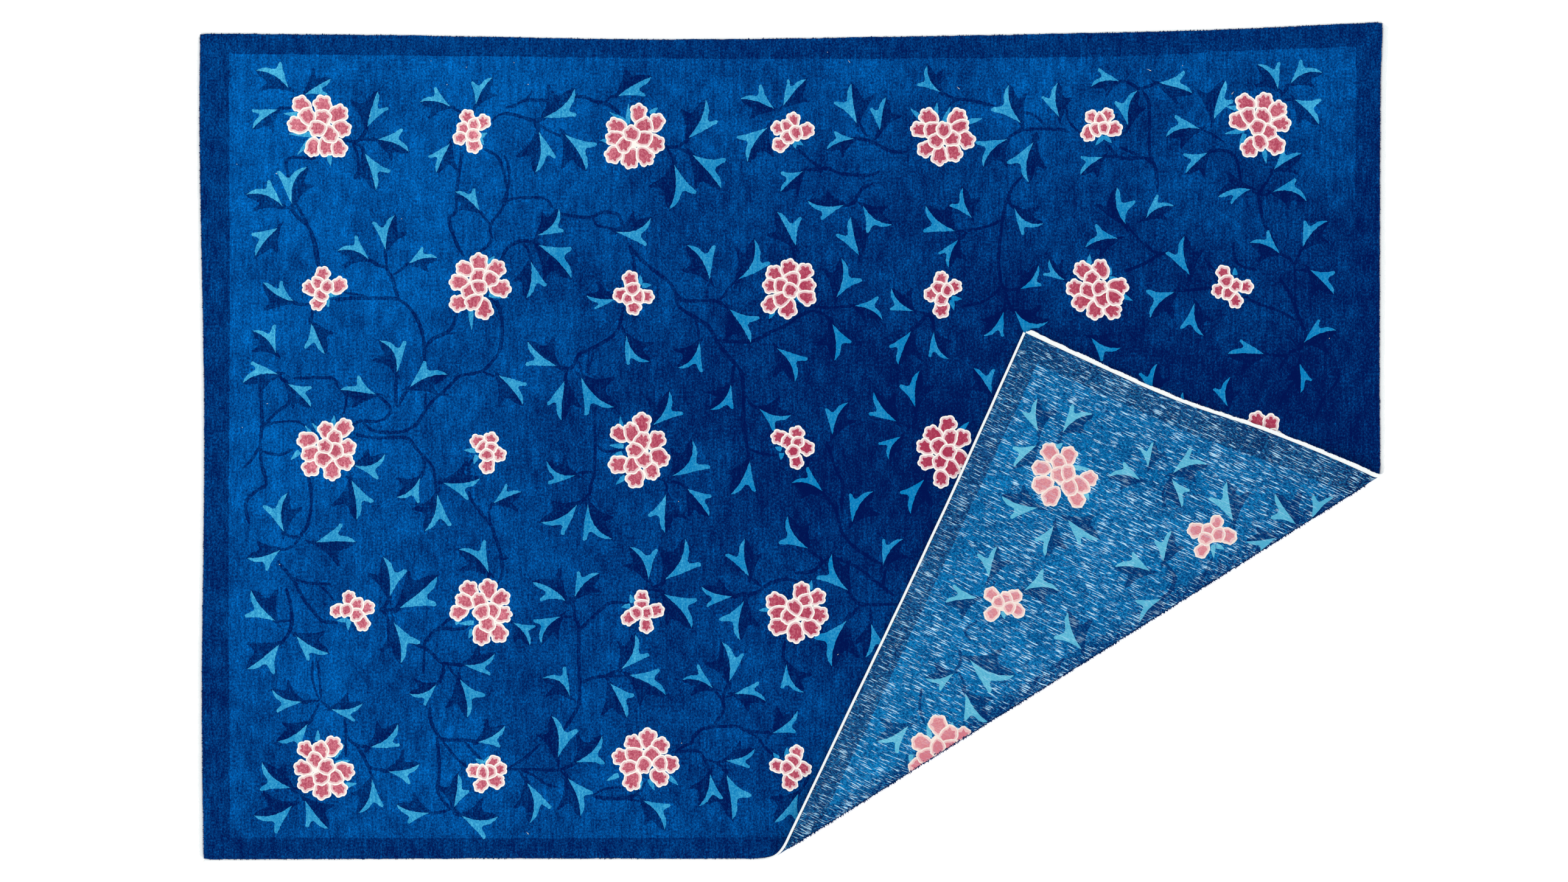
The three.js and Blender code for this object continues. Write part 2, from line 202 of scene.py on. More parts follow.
# Leaves on the folded corner, read where they show on its back, in the same form
FLAP_LEAVES = [
    (742, 28, 740, 130, 1, .05), (815, 28, 907, 81, 1, .1), (735, -12, 667, -80, -1, 0),
    (740, -200, 630, -163, 1, .05), (788, -252, 763, -347, -1, 0), (592, -410, 618, -315, 1, 0),
    (557, -470, 460, -485, -1, 0), (697, -449, 803, -450, 1, .1), (1048, -117, 950, -107, -1, -.1),
    (1072, -77, 1090, 0, 1, 0), (1145, -97, 1250, -72, 1, .1), (1142, -113, 1172, -200, 1, 0),
    (1325, -240, 1308, -120, 1, 0), (1515, -250, 1452, -157, 1, 0),
    (1562, -238, 1628, -168, 1, .05), (1455, -290, 1365, -301, 1, 0),
    (1115, -362, 1143, -267, 1, 0), (1078, -390, 970, -378, -1, -.05),
    (828, -235, 925, -295, -1, 0), (1110, -472, 1045, -545, -1, -.05),
    (870, -625, 830, -513, 1, .05), (535, -655, 670, -702, -1, -.1), (487, -697, 402, -712, 1, .08),
    (522, -756, 592, -845, -1, -.05), (350, -855, 255, -900, 1, .05),
]

# Blossoms: the middle of each petal, the one on top last
LARGE_BLOSSOMS = [
    [(-1475, 1013), (-1410, 1012), (-1362, 985), (-1488, 952), (-1350, 940), (-1440, 880),
     (-1400, 885), (-1362, 880), (-1410, 975), (-1458, 980), (-1387, 920), (-1425, 942)],
    [(-460, 990), (-530, 948), (-405, 962), (-532, 912), (-410, 895), (-535, 862), (-485, 848),
     (-440, 855), (-440, 950), (-505, 890), (-440, 910), (-482, 925)],
    [(410, 975), (500, 975), (383, 938), (526, 905), (403, 878), (445, 856), (488, 866),
     (420, 937), (508, 950), (435, 905), (485, 910), (457, 935)],
    [(1362, 1018), (1422, 1020), (1342, 965), (1462, 998), (1475, 955), (1378, 882), (1455, 890),
     (1372, 982), (1415, 980), (1435, 930), (1408, 898), (1402, 945)],
    [(-940, 538), (-985, 520), (-888, 518), (-1003, 478), (-872, 460), (-1002, 415), (-925, 395),
     (-940, 497), (-905, 490), (-970, 450), (-957, 420), (-940, 465)],
    [(-52, 505), (-8, 520), (40, 510), (-62, 468), (48, 468), (48, 432), (-65, 410), (-12, 398),
     (2, 490), (-35, 468), (-32, 425), (-5, 455)],
    [(875, 515), (928, 522), (853, 460), (985, 465), (870, 420), (912, 393), (965, 393),
     (902, 490), (890, 455), (935, 425), (970, 432), (925, 462)],
    [(-1400, 35), (-1345, 42), (-1460, 3), (-1335, -18), (-1445, -78), (-1382, -90), (-1342, -62),
     (-1375, 12), (-1448, -38), (-1410, -52), (-1370, -28), (-1402, -15)],
    [(-450, 58), (-520, 25), (-405, 5), (-395, -50), (-522, -70), (-420, -92), (-470, -112),
     (-482, 30), (-448, 2), (-480, -75), (-445, -55), (-470, -27)],
    [(470, 50), (425, 20), (512, 10), (400, -15), (405, -62), (510, -55), (480, -82), (450, -115),
     (478, 15), (440, -12), (447, -62), (470, -32)],
    [(-970, -448), (-912, -442), (-872, -470), (-1003, -515), (-868, -520), (-932, -585),
     (-880, -578), (-985, -478), (-940, -478), (-895, -512), (-915, -550), (-930, -512)],
    [(30, -450), (78, -468), (-48, -482), (-42, -515), (82, -522), (-40, -555), (12, -578),
     (60, -562), (40, -478), (-12, -525), (45, -515), (10, -500)],
    [(-1462, -925), (-1380, -915), (-1472, -982), (-1342, -992), (-1458, -1028), (-1412, -1050),
     (-1360, -1045), (-1415, -928), (-1432, -955), (-1370, -1010), (-1415, -1012), (-1400, -980)],
    [(-477, -907), (-432, -892), (-395, -915), (-512, -950), (-365, -970), (-480, -1022),
     (-395, -1012), (-478, -942), (-418, -940), (-492, -980), (-392, -970), (-445, -975)],
    [(1400, 62), (1440, 55), (1365, 25), (1445, 15), (1380, -25), (1430, -45), (1440, -30),
     (1430, 10)],
    [(930, 40), (880, 10), (975, 15), (870, -45), (985, -35), (900, -90), (955, -90), (905, -10),
     (945, -45), (925, -20)],
    [(930, -440), (880, -465), (975, -470), (865, -520), (985, -520), (900, -570), (955, -570),
     (905, -490), (945, -530), (925, -505)],
]
SMALL_BLOSSOMS = [
    [(-975, 975), (-928, 960), (-985, 940), (-997, 912), (-955, 890), (-955, 952), (-957, 920)],
    [(-40, 942), (5, 968), (45, 935), (-35, 892), (-15, 948), (-12, 915), (12, 928)],
    [(903, 975), (948, 980), (893, 925), (970, 940), (928, 968), (915, 938), (938, 943)],
    [(-1410, 503), (-1448, 462), (-1360, 470), (-1425, 415), (-1425, 475), (-1415, 438),
     (-1397, 465)],
    [(-485, 488), (-515, 440), (-435, 435), (-475, 403), (-492, 430), (-460, 435), (-478, 457)],
    [(450, 490), (490, 465), (420, 442), (450, 395), (442, 462), (450, 425), (470, 455)],
    [(1298, 507), (1285, 453), (1367, 465), (1335, 422), (1312, 447), (1336, 468), (1307, 482)],
    [(-945, 0), (-905, 5), (-880, -40), (-915, -75), (-928, -15), (-905, -18), (-915, -38)],
    [(-38, 12), (15, 22), (45, -20), (15, -62), (-12, 0), (18, -2), (5, -30)],
    [(-1330, -470), (-1275, -500), (-1367, -510), (-1290, -548), (-1307, -492), (-1308, -520),
     (-1340, -508)],
    [(-450, -468), (-405, -508), (-490, -532), (-437, -556), (-450, -492), (-437, -515),
     (-465, -515)],
    [(-955, -990), (-895, -965), (-878, -985), (-935, -1035), (-888, -1020), (-905, -992),
     (-928, -995)],
    [(15, -935), (-45, -975), (38, -985), (-5, -1025), (5, -958), (10, -1002), (-14, -980)],
    [(470, -465), (515, -505), (430, -520), (475, -550), (455, -490), (490, -520), (470, -505)],
]
# Blossoms on the folded corner, read where they show on its back
FLAP_LARGE_BLOSSOMS = [
    [(775, -32), (832, -42), (747, -80), (895, -112), (750, -130), (778, -168), (858, -175),
     (803, -62), (872, -132), (805, -98), (838, -140), (825, -95)],
    [(440, -850), (515, -882), (388, -905), (378, -978), (475, -880), (478, -918), (402, -948),
     (440, -925)],
]
FLAP_SMALL_BLOSSOMS = [
    [(600, -460), (672, -465), (600, -520), (680, -510), (645, -475), (655, -500), (622, -482)],
    [(1277, -242), (1213, -268), (1312, -285), (1230, -330), (1252, -268), (1282, -280),
     (1244, -290)],
]
LARGE_PETAL, SMALL_PETAL = 26.2, 22.6  # from a petal's middle to its edge

# Sepals that show between and below the petals: from, to
SEPALS = [
    (-1480, 982, -1527, 985), (-1440, 922, -1512, 924), (-1440, 915, -1485, 862),
    (-1392, 865, -1386, 828), (-940, 915, -915, 927), (-940, 915, -926, 893),
    (-490, 955, -548, 990), (-492, 955, -490, 1015), (-425, 985, -402, 1003),
    (-545, 903, -575, 905), (390, 970, 358, 1000), (432, 975, 437, 1018), (458, 960, 477, 1005),
    (530, 960, 572, 970), (8, 905, 12, 880), (10, 905, 36, 890), (1345, 1000, 1307, 1006),
    (1360, 935, 1302, 925), (1362, 925, 1345, 875), (1420, 875, 1427, 836), (938, 918, 913, 890),
    (940, 918, 962, 898), (-912, 535, -893, 557), (-965, 400, -962, 335), (-910, 440, -850, 432),
    (-1395, 440, -1362, 440), (-1398, 430, -1392, 403), (-455, 470, -455, 500),
    (-450, 468, -422, 470), (15, 435, 45, 407), (5, 425, 8, 392), (-55, 390, -68, 368),
    (480, 430, 512, 428), (480, 425, 488, 395), (893, 530, 896, 562), (955, 500, 960, 522),
    (955, 490, 992, 484), (990, 440, 1025, 423), (1333, 500, 1332, 522), (-1380, 45, -1375, 78),
    (-1405, 15, -1442, 55), (-1430, 0, -1462, 47), (-1480, -30, -1505, -55), (-510, 25, -515, 75),
    (-505, -15, -548, -12), (-510, -35, -548, -52), (-500, -105, -528, -130), (505, 30, 533, 58),
    (-945, -28, -985, -27), (-945, -42, -955, -68), (-30, -25, -50, -18), (-30, -35, -32, -55),
    (-1000, -535, -1010, -552), (-955, -545, -1000, -548), (-960, -565, -970, -592),
    (-1335, -535, -1367, -540), (-1332, -535, -1333, -568), (-485, -495, -512, -498),
    (-478, -485, -485, -460), (-35, -470, -60, -450), (-60, -505, -98, -508), (55, -445, 60, -418),
    (-1425, -900, -1424, -868), (-1375, -950, -1345, -912), (-1370, -968, -1328, -960),
    (-1345, -1035, -1308, -1029), (-925, -970, -950, -955), (-920, -970, -910, -945),
    (-520, -1003, -556, -1020), (-455, -1020, -457, -1048), (-428, -1015, -412, -1050),
    (-370, -1008, -342, -1033), (-40, -955, -55, -937), (-15, -950, -14, -920),
]
# Sepals on the folded corner, read where they show on its back
FLAP_SEPALS = [
    (850, -50, 862, -35), (845, -78, 900, -85), (880, -150, 895, -178), (635, -510, 640, -535),
    (1265, -310, 1266, -350), (1275, -312, 1300, -325), (415, -890, 408, -845),
    (480, -870, 482, -842), (385, -890, 365, -892), (795, -20, 815, -5), (360, -940, 355, -965),
]

# Vines: each row is the places that one passes
VINES = [
    [(-1370, 905), (-1335, 905), (-1310, 900), (-1285, 925), (-1278, 950)],
    [(-1312, 900), (-1285, 907), (-1245, 905)], [(-1318, 898), (-1295, 885), (-1285, 862)],
    [(-1320, 895), (-1305, 860), (-1300, 790)],
    [(-1430, 850), (-1512, 850), (-1515, 800), (-1500, 740), (-1498, 690), (-1450, 640),
     (-1430, 590), (-1420, 520)],
    [(-1490, 715), (-1460, 660), (-1440, 610), (-1432, 560), (-1425, 525)],
    [(-1505, 1030), (-1480, 1035), (-1462, 1045)], [(-1545, 1000), (-1500, 1003)],
    [(-990, 870), (-1005, 770), (-1010, 690), (-1030, 670), (-1010, 600), (-985, 555)],
    [(-925, 880), (-880, 850), (-862, 790), (-855, 740), (-870, 700), (-905, 650), (-905, 600),
     (-950, 560)], [(-905, 650), (-938, 690)], [(-1027, 1005), (-985, 985)],
    [(-949, 1013), (-955, 985)], [(-880, 982), (-850, 985), (-800, 972), (-775, 965), (-745, 975)],
    [(-905, 960), (-880, 982)], [(-778, 965), (-740, 940), (-700, 920), (-682, 922)],
    [(-778, 965), (-765, 940), (-760, 930)],
    [(-860, 1005), (-830, 1010), (-800, 1025), (-700, 1023)], [(-797, 1022), (-780, 1055)],
    [(-655, 1035), (-620, 1035), (-590, 1020), (-555, 1015), (-515, 985)],
    [(-560, 1018), (-545, 1035), (-520, 1040)],
    [(-870, 705), (-835, 730), (-745, 730), (-718, 700)],
    [(-865, 860), (-852, 830), (-850, 780), (-870, 700)],
    [(-700, 685), (-640, 675), (-597, 675), (-575, 687), (-545, 688), (-520, 680), (-508, 645)],
    [(-597, 672), (-585, 650), (-545, 640), (-520, 632)],
    [(-905, 540), (-880, 530), (-862, 570), (-840, 592), (-810, 603), (-775, 600), (-760, 615)],
    [(-812, 600), (-792, 575), (-785, 540)], [(-780, 600), (-755, 585)],
    [(-395, 888), (-370, 885), (-340, 887), (-310, 912)], [(-345, 883), (-320, 872), (-296, 860)],
    [(-375, 882), (-362, 860), (-355, 832)], [(-490, 590), (-475, 550), (-472, 500)],
    [(-493, 597), (-455, 550), (-410, 510), (-370, 480), (-352, 455), (-345, 440), (-325, 424),
     (-300, 422), (-230, 422), (-200, 405), (-185, 397)],
    [(-228, 423), (-205, 435), (-190, 462), (-160, 487)], [(-255, 425), (-253, 455), (-246, 487)],
    [(-350, 442), (-335, 402), (-290, 372), (-250, 345), (-230, 310), (-210, 280), (-180, 245),
     (-155, 215), (-148, 190), (-145, 140), (-143, 40), (-135, -10), (-125, -60)],
    [(-290, 370), (-282, 340), (-278, 300)],
    [(-228, 303), (-180, 300), (-125, 300), (-95, 310), (-60, 330), (-10, 350)],
    [(-172, 235), (-178, 200), (-182, 172)], [(-143, 145), (-120, 110), (-97, 98)],
    [(-140, 150), (-150, 60), (-140, 10)],
    [(-505, 405), (-512, 370), (-520, 340), (-540, 315), (-580, 290), (-610, 275), (-640, 260),
     (-655, 230), (-670, 218), (-706, 226)], [(-512, 350), (-505, 335), (-497, 318)],
    [(-608, 275), (-613, 205)], [(-640, 240), (-632, 215), (-630, 192)],
    [(-670, 217), (-678, 200), (-683, 181)], [(-590, 105), (-592, 0)], [(-595, 270), (-612, 210)],
    [(-885, 425), (-872, 370), (-870, 320), (-880, 270)],
    [(195, 910), (230, 905), (262, 890), (300, 872), (345, 870)],
    [(205, 957), (215, 935), (228, 915)], [(262, 935), (255, 915), (240, 902)],
    [(45, 815), (75, 818), (110, 820), (150, 805), (230, 800), (265, 812)],
    [(155, 710), (185, 716), (200, 740), (215, 762), (245, 775)], [(15, 885), (60, 840), (90, 825)],
    [(475, 1010), (500, 1028), (560, 1020), (610, 1008)], [(447, 1052), (475, 1037), (505, 1023)],
    [(640, 1003), (690, 990), (730, 980), (760, 952)],
    [(648, 908), (678, 930), (710, 938), (800, 938), (835, 930)],
    [(735, 932), (740, 912), (727, 900)], [(695, 800), (662, 760), (655, 720), (672, 703)],
    [(658, 755), (640, 700), (632, 650), (625, 590), (622, 540), (628, 490), (642, 458),
     (687, 457)], [(493, 632), (540, 635), (600, 650), (640, 672)],
    [(530, 635), (515, 615), (500, 605)],
    [(985, 1083), (1020, 1075), (1045, 1060), (1068, 1066), (1105, 1078)],
    [(1055, 1055), (1075, 1010), (1075, 900), (1080, 850), (1095, 820), (1100, 750)],
    [(825, 1005), (835, 960), (870, 925)],
    [(948, 895), (975, 860), (1000, 850), (1060, 852), (1090, 830)],
    [(985, 885), (1020, 870), (1055, 855)], [(935, 855), (960, 857), (985, 855)],
    [(1227, 940), (1260, 925), (1300, 900)],
    [(1250, 868), (1295, 875), (1330, 860), (1345, 815), (1350, 770)],
    [(1450, 818), (1425, 775), (1400, 745), (1380, 757)], [(1405, 747), (1420, 740), (1447, 750)],
    [(1402, 743), (1410, 700), (1418, 660), (1440, 620), (1462, 565)],
    [(1005, 653), (1040, 612), (1085, 575)], [(1480, 1045), (1463, 1058)],
    [(1470, 1035), (1500, 1075)], [(1478, 1025), (1512, 1028)],
    [(-1271, 547), (-1245, 530), (-1218, 522), (-1212, 505), (-1200, 490), (-1190, 450),
     (-1180, 430)], [(-1221, 577), (-1217, 525)], [(-1150, 535), (-1180, 512), (-1200, 500)],
    [(-1372, 425), (-1330, 430), (-1250, 430), (-1200, 430), (-1170, 420), (-1140, 390),
     (-1115, 340), (-1105, 290), (-1103, 235)], [(-1345, 448), (-1300, 440), (-1270, 432)],
    [(-1100, 285), (-1075, 310), (-1040, 325), (-1020, 345), (-1003, 390)],
    [(-1040, 325), (-1012, 325)], [(-1497, 412), (-1435, 412)],
    [(-1442, 400), (-1442, 375), (-1445, 355)],
    [(-905, 430), (-880, 400), (-870, 350), (-875, 280), (-900, 240), (-925, 215), (-950, 205),
     (-1000, 195), (-1030, 165), (-1070, 130), (-1100, 95), (-1125, 55), (-1155, 35), (-1185, 27),
     (-1250, 30), (-1290, 55)], [(-930, 210), (-905, 198), (-880, 198)],
    [(-1060, 140), (-1030, 140)], [(-1100, 190), (-1100, 130), (-1103, 92)],
    [(-1187, 207), (-1190, 150), (-1185, 105), (-1168, 135), (-1148, 163)],
    [(-1500, 190), (-1380, 190), (-1368, 170), (-1357, 155)],
    [(-1340, 150), (-1340, 110), (-1352, 75)], [(-1545, 202), (-1530, 185), (-1513, 172)],
    [(-1525, 190), (-1512, 150), (-1512, 115), (-1545, 90), (-1590, 45)],
    [(-1590, 170), (-1595, 130), (-1592, 50), (-1597, 0), (-1595, -60), (-1585, -100),
     (-1580, -130), (-1610, -150), (-1638, -178), (-1640, -210), (-1630, -250)],
    [(-1597, -10), (-1620, -50), (-1648, -80)],
    [(-1590, 40), (-1560, 55), (-1490, 60), (-1455, 40)],
    [(-1252, 143), (-1220, 118), (-1205, 95), (-1215, 75), (-1245, 60), (-1300, 60), (-1330, 40)],
    [(-1595, -30), (-1540, -40), (-1500, -25)],
    [(-1455, -100), (-1445, -150), (-1445, -200), (-1455, -250), (-1480, -285), (-1510, -285),
     (-1527, -271)], [(-1475, -288), (-1495, -310), (-1520, -325), (-1538, -327)],
    [(-1460, -300), (-1430, -303)],
    [(-1545, -360), (-1520, -390), (-1490, -430), (-1470, -470), (-1440, -510), (-1410, -540),
     (-1365, -545)], [(-1500, -410), (-1460, -425), (-1385, -430)],
    [(-1425, -428), (-1395, -455), (-1375, -480)],
    [(-1520, -440), (-1505, -500), (-1505, -560), (-1528, -600), (-1540, -611)],
    [(-1552, -540), (-1507, -540)], [(-1340, -105), (-1323, -117)], [(-1330, -80), (-1315, -73)],
    [(-1310, 20), (-1250, 10), (-1160, 10), (-1130, -20), (-1107, -50), (-1105, -80),
     (-1117, -110)], [(-1110, -42), (-1080, -75), (-1072, -115), (-1068, -160)],
    [(-1072, -122), (-1047, -125)], [(-985, -55), (-972, -75), (-970, -115)],
    [(-955, -45), (-972, -75)],
    [(-972, -150), (-960, -180), (-930, -220), (-905, -250), (-890, -290), (-875, -340),
     (-870, -400), (-887, -430)], [(-912, -396), (-912, -430)],
    [(-905, -250), (-910, -210), (-895, -185)], [(-875, -357), (-850, -350)],
    [(-1208, -465), (-1225, -500), (-1240, -508), (-1205, -507), (-1178, -501)],
    [(-1235, -507), (-1215, -530), (-1212, -580), (-1195, -545)],
    [(-1200, -600), (-1170, -600), (-1140, -605), (-1110, -620), (-1090, -630), (-1060, -660),
     (-1045, -668), (-985, -672)],
    [(-1105, -625), (-1100, -600), (-1065, -565), (-1000, -565), (-965, -552)],
    [(-1070, -570), (-1030, -535), (-1010, -525)], [(-1105, -615), (-1107, -700)],
    [(-1048, -668), (-1047, -700), (-1068, -731)], [(-1035, -672), (-1015, -700), (-997, -715)],
    [(-1440, -660), (-1440, -720), (-1420, -778)], [(-1425, -662), (-1418, -720), (-1415, -775)],
    [(-1418, -780), (-1472, -783)], [(-1415, -780), (-1398, -795), (-1383, -805)],
    [(-1420, -785), (-1435, -820), (-1455, -850)],
    [(-1345, -835), (-1340, -870), (-1335, -890), (-1310, -912), (-1267, -920)],
    [(-1312, -910), (-1285, -950), (-1272, -978), (-1240, -987), (-1213, -992)],
    [(-1274, -975), (-1265, -1000), (-1262, -1016)], [(-1340, -885), (-1340, -950)],
    [(-1505, -1043), (-1480, -1045)], [(-1500, -1093), (-1480, -1070)],
    [(-1087, -797), (-1085, -840), (-1065, -880), (-1045, -897), (-980, -898), (-943, -905)],
    [(-1050, -900), (-1010, -950), (-968, -985)], [(-985, -903), (-930, -960)],
    [(-1067, -888), (-1060, -950), (-1060, -1010), (-1065, -1050), (-1040, -1090), (-1020, -1105),
     (-993, -1122)], [(-1022, -1105), (-1055, -1115), (-1090, -1117)],
    [(-1018, -1105), (-1014, -1100)], [(-20, 605), (0, 590), (8, 560), (8, 525)],
    [(-40, 340), (-10, 352), (20, 375), (60, 392), (90, 385), (110, 370), (122, 354)],
    [(40, 410), (110, 402), (190, 407)], [(365, 392), (385, 387), (415, 382)],
    [(358, 330), (385, 355), (412, 380), (428, 350), (428, 330)],
    [(635, 470), (605, 440), (575, 420), (510, 405)],
    [(642, 456), (650, 420), (660, 402), (671, 392)], [(645, 430), (640, 405), (637, 388)],
    [(345, 30), (355, 42), (372, 55), (372, 103)], [(315, 60), (355, 45), (400, 30)],
    [(1000, 510), (1050, 530), (1080, 545), (1110, 563), (1150, 565)],
    [(1060, 595), (1085, 572), (1115, 563)], [(1240, 550), (1270, 515)],
    [(1153, 451), (1200, 455), (1270, 462)], [(1330, 600), (1330, 560), (1350, 528), (1400, 515)],
    [(1363, 435), (1400, 415), (1470, 390), (1512, 365)],
    [(1467, 490), (1500, 440), (1515, 400), (1532, 355), (1545, 320), (1535, 285), (1500, 268),
     (1480, 258), (1420, 262)], [(1500, 268), (1480, 240), (1465, 215)],
    [(1467, 565), (1500, 547), (1510, 530), (1530, 570), (1537, 583)],
    [(1510, 530), (1515, 480), (1513, 400)], [(1560, 515), (1512, 515)],
    [(1510, 180), (1480, 140), (1465, 105)], [(1645, 220), (1640, 180), (1600, 130), (1575, 75)],
    [(1540, 297), (1530, 280)], [(1528, 233), (1530, 262)],
    [(-590, 20), (-592, -90), (-600, -120), (-610, -160), (-645, -190)],
    [(-649, -98), (-620, -93), (-592, -93)], [(-609, -160), (-612, -190)],
    [(-585, -10), (-560, -30), (-500, -25)],
    [(-400, -112), (-380, -120), (-340, -125), (-313, -143)],
    [(-382, -120), (-375, -140), (-378, -160)], [(-390, -112), (-370, -105), (-360, -105)],
    [(-130, -22), (-90, -37), (-40, -42)],
    [(-668, -470), (-655, -500), (-652, -530), (-640, -560), (-640, -640), (-637, -730),
     (-640, -790), (-660, -830), (-690, -875)], [(-693, -527), (-652, -527)],
    [(-655, -500), (-652, -467)], [(-675, -490), (-680, -480)],
    [(-635, -565), (-600, -530), (-560, -495), (-540, -485), (-488, -487)],
    [(-432, -415), (-438, -440), (-440, -450)], [(-430, -447), (-400, -432), (-380, -415)],
    [(-425, -447), (-400, -450), (-383, -460)],
    [(15, -420), (-20, -415), (-60, -425), (-85, -440), (-105, -455), (-150, -460), (-180, -467)],
    [(-87, -440), (-110, -420), (-128, -407)], [(-110, -457), (-135, -470), (-143, -480)],
    [(93, -150), (100, -165), (130, -200), (140, -230), (150, -270), (180, -310), (220, -340),
     (270, -370)], [(105, 0), (120, -50), (140, -100), (155, -130), (150, -200)],
    [(50, -322), (75, -345), (92, -360), (65, -390), (10, -397)],
    [(92, -360), (130, -352), (200, -380), (250, -420), (310, -465)],
    [(170, -448), (190, -478), (212, -490), (320, -490)], [(205, -492), (175, -530), (165, -540)],
    [(236, -500), (240, -550)], [(290, -370), (280, -400), (275, -440)],
    [(-635, -728), (-600, -712), (-560, -705), (-530, -692), (-512, -685)],
    [(-560, -705), (-520, -706), (-487, -703)], [(-560, -706), (-545, -727)],
    [(-850, -982), (-800, -950), (-755, -910)],
    [(-875, -985), (-780, -986), (-700, -988), (-648, -965)],
    [(-820, -985), (-780, -1002), (-740, -1030), (-700, -1040)], [(-700, -988), (-703, -950)],
    [(-695, -990), (-673, -1013)], [(-820, -990), (-795, -1028)],
    [(-600, -1065), (-560, -1045), (-505, -1040)],
    [(-600, -1066), (-560, -1073), (-500, -1072), (-465, -1060), (-440, -1025)],
    [(-500, -1072), (-470, -1080), (-447, -1080)],
    [(-187, -722), (-200, -750), (-207, -775), (-205, -810), (-225, -840), (-237, -858),
     (-270, -865), (-295, -890), (-300, -905), (-330, -920), (-350, -938)],
    [(-237, -858), (-160, -857), (-140, -870), (-57, -877)],
    [(-140, -870), (-100, -892), (-80, -920), (-40, -955)], [(-205, -770), (-172, -760)],
    [(-208, -778), (-237, -742)],
    [(-350, -935), (-290, -930), (-265, -950), (-250, -985), (-245, -1000)],
    [(-262, -955), (-220, -970), (-195, -1003)], [(-225, -965), (-197, -960)],
    [(-15, -670), (-25, -640), (-20, -600)], [(20, -1060), (40, -1030), (55, -1000)],
]
# Vines on the folded corner, read where they show on its back
FLAP_VINES = [
    [(1325, -240), (1310, -275)],
    [(1115, -362), (1145, -395), (1150, -420), (1130, -460), (1110, -472)],
    [(1265, -345), (1240, -400), (1210, -450)], [(1275, -345), (1290, -375), (1260, -430)],
    [(815, 28), (805, 0), (800, -15)], [(1142, -113), (1130, -125), (1115, -160), (1125, -200)],
    [(870, -545), (860, -580), (870, -625)], [(487, -697), (510, -660), (500, -620)],
    [(522, -756), (515, -720), (500, -690)], [(390, -740), (385, -800), (400, -850)],
    [(745, -700), (720, -740), (700, -770)], [(820, -650), (790, -680)],
    [(1480, -180), (1510, -240)], [(592, -410), (610, -425), (600, -440)],
    [(540, -600), (520, -570), (560, -540)],
]

# Bits of lint that lie on the pile: where each lies, and its length
LINT = [
    (1073, 1117, 16), (1327, 1048, 12), (1175, 1130, 3), (500, 1063, 12), (172, 1143, 11),
    (107, 1170, 3), (-1668, 833, 3), (-1550, 805, 6), (-1172, 669, 4), (-1036, 1073, 3),
    (-1084, 1144, 3), (-977, 1125, 3), (-1267, 978, 3), (-1652, 42, 3), (-1577, 113, 5),
    (-1540, -370, 4), (1617, 310, 3), (-340, -180, 4), (-330, -907, 4), (-795, -1177, 12),
    (140, -640, 6), (-835, 1139, 4), (-793, 1073, 5),
]

# Each yarn's dye, in sRGB: where it is palest and where it is deepest, how deep it is taken up to start with,
# and how much of the sheet's own unevenness, partly dye and partly painted light and shade, is added to that
BLUE = ("#017CDC", "#00124E")
DYES = {
    "border": (*BLUE, 0.61, 0.48),
    "field": (*BLUE, 0.05, 1.0),
    "vine": (*BLUE, 0.62, 0.75),
    "dark_leaf": (*BLUE, 0.56, 0.82),
    "light_leaf": ("#5ECEF0", "#0076B4", 0.03, 1.0),
    "ivory": ("#FFFDF6", "#F1EDE6", 0.0, 1.0),
    "pale_pink": ("#FBDDD2", "#D9B6BC", 0.0, 1.0),
    "rose": ("#FBA6B2", "#A23450", 0.03, 1.0),
}
BACK_BLUE = ("#08A0EC", "#022660")
BACK_DYES = {
    "border": ("#2C80C8", "#061E50", 0.62, 0.4),
    "field": (*BACK_BLUE, 0.28, 0.5),
    "vine": (*BACK_BLUE, 0.78, 0.5),
    "dark_leaf": (*BACK_BLUE, 0.8, 0.5),
    "light_leaf": ("#8CDCEC", "#4CA4C4", 0.2, 0.6),
    "ivory": ("#FFF3E8", "#E9DAD0", 0.2, 0.5),
    "pale_pink": ("#FCDDD2", "#E2B4B4", 0.2, 0.5),
    "rose": ("#F0BAB8", "#CC7480", 0.2, 0.5),
}
# How much pale weft shows between each yarn's knots on the back
BACK_FLECKS = {
    "border": 0.85, "field": 1.0, "vine": 0.35, "dark_leaf": 0.4, "light_leaf": 0.4,
    "ivory": 0.1, "pale_pink": 0.15, "rose": 0.2,
}
YARNS = list(DYES)


def linear(code):
    """An sRGB hex code as linear red, green, blue and alpha."""
    parts = [int(code[i:i + 2], 16) / 255 for i in (1, 3, 5)]
    return (*(c / 12.92 if c <= 0.04045 else ((c + 0.055) / 1.055) ** 2.4 for c in parts), 1.0)


# The flat sheet

# Lines along which the cloth bends: round the roll, and where the flap comes down
ROLL_BENDS, SETTLE_BENDS = 15, 8
BEND_CLEAR = 2.5  # even steps nearer to a bend than this are left out


def edge_at(table, at):
    """An edge table read at the places given: the line between two rows, plus t(1 - t) times what brings the
    slope at each row to that of the line through its two neighbours."""
    place, across = np.array(table, float).T
    slope = np.empty_like(across)
    slope[1:-1] = (across[2:] - across[:-2]) / (place[2:] - place[:-2])
    slope[0] = (across[1] - across[0]) / (place[1] - place[0])
    slope[-1] = (across[-1] - across[-2]) / (place[-1] - place[-2])
    row = np.clip(np.searchsorted(place, at, side="right") - 1, 0, len(place) - 2)
    span, rise = place[row + 1] - place[row], across[row + 1] - across[row]
    t = (at - place[row]) / span
    bend = (slope[row] * span - rise) * (1 - t) - (slope[row + 1] * span - rise) * t
    return across[row] + rise * t + t * (1 - t) * bend


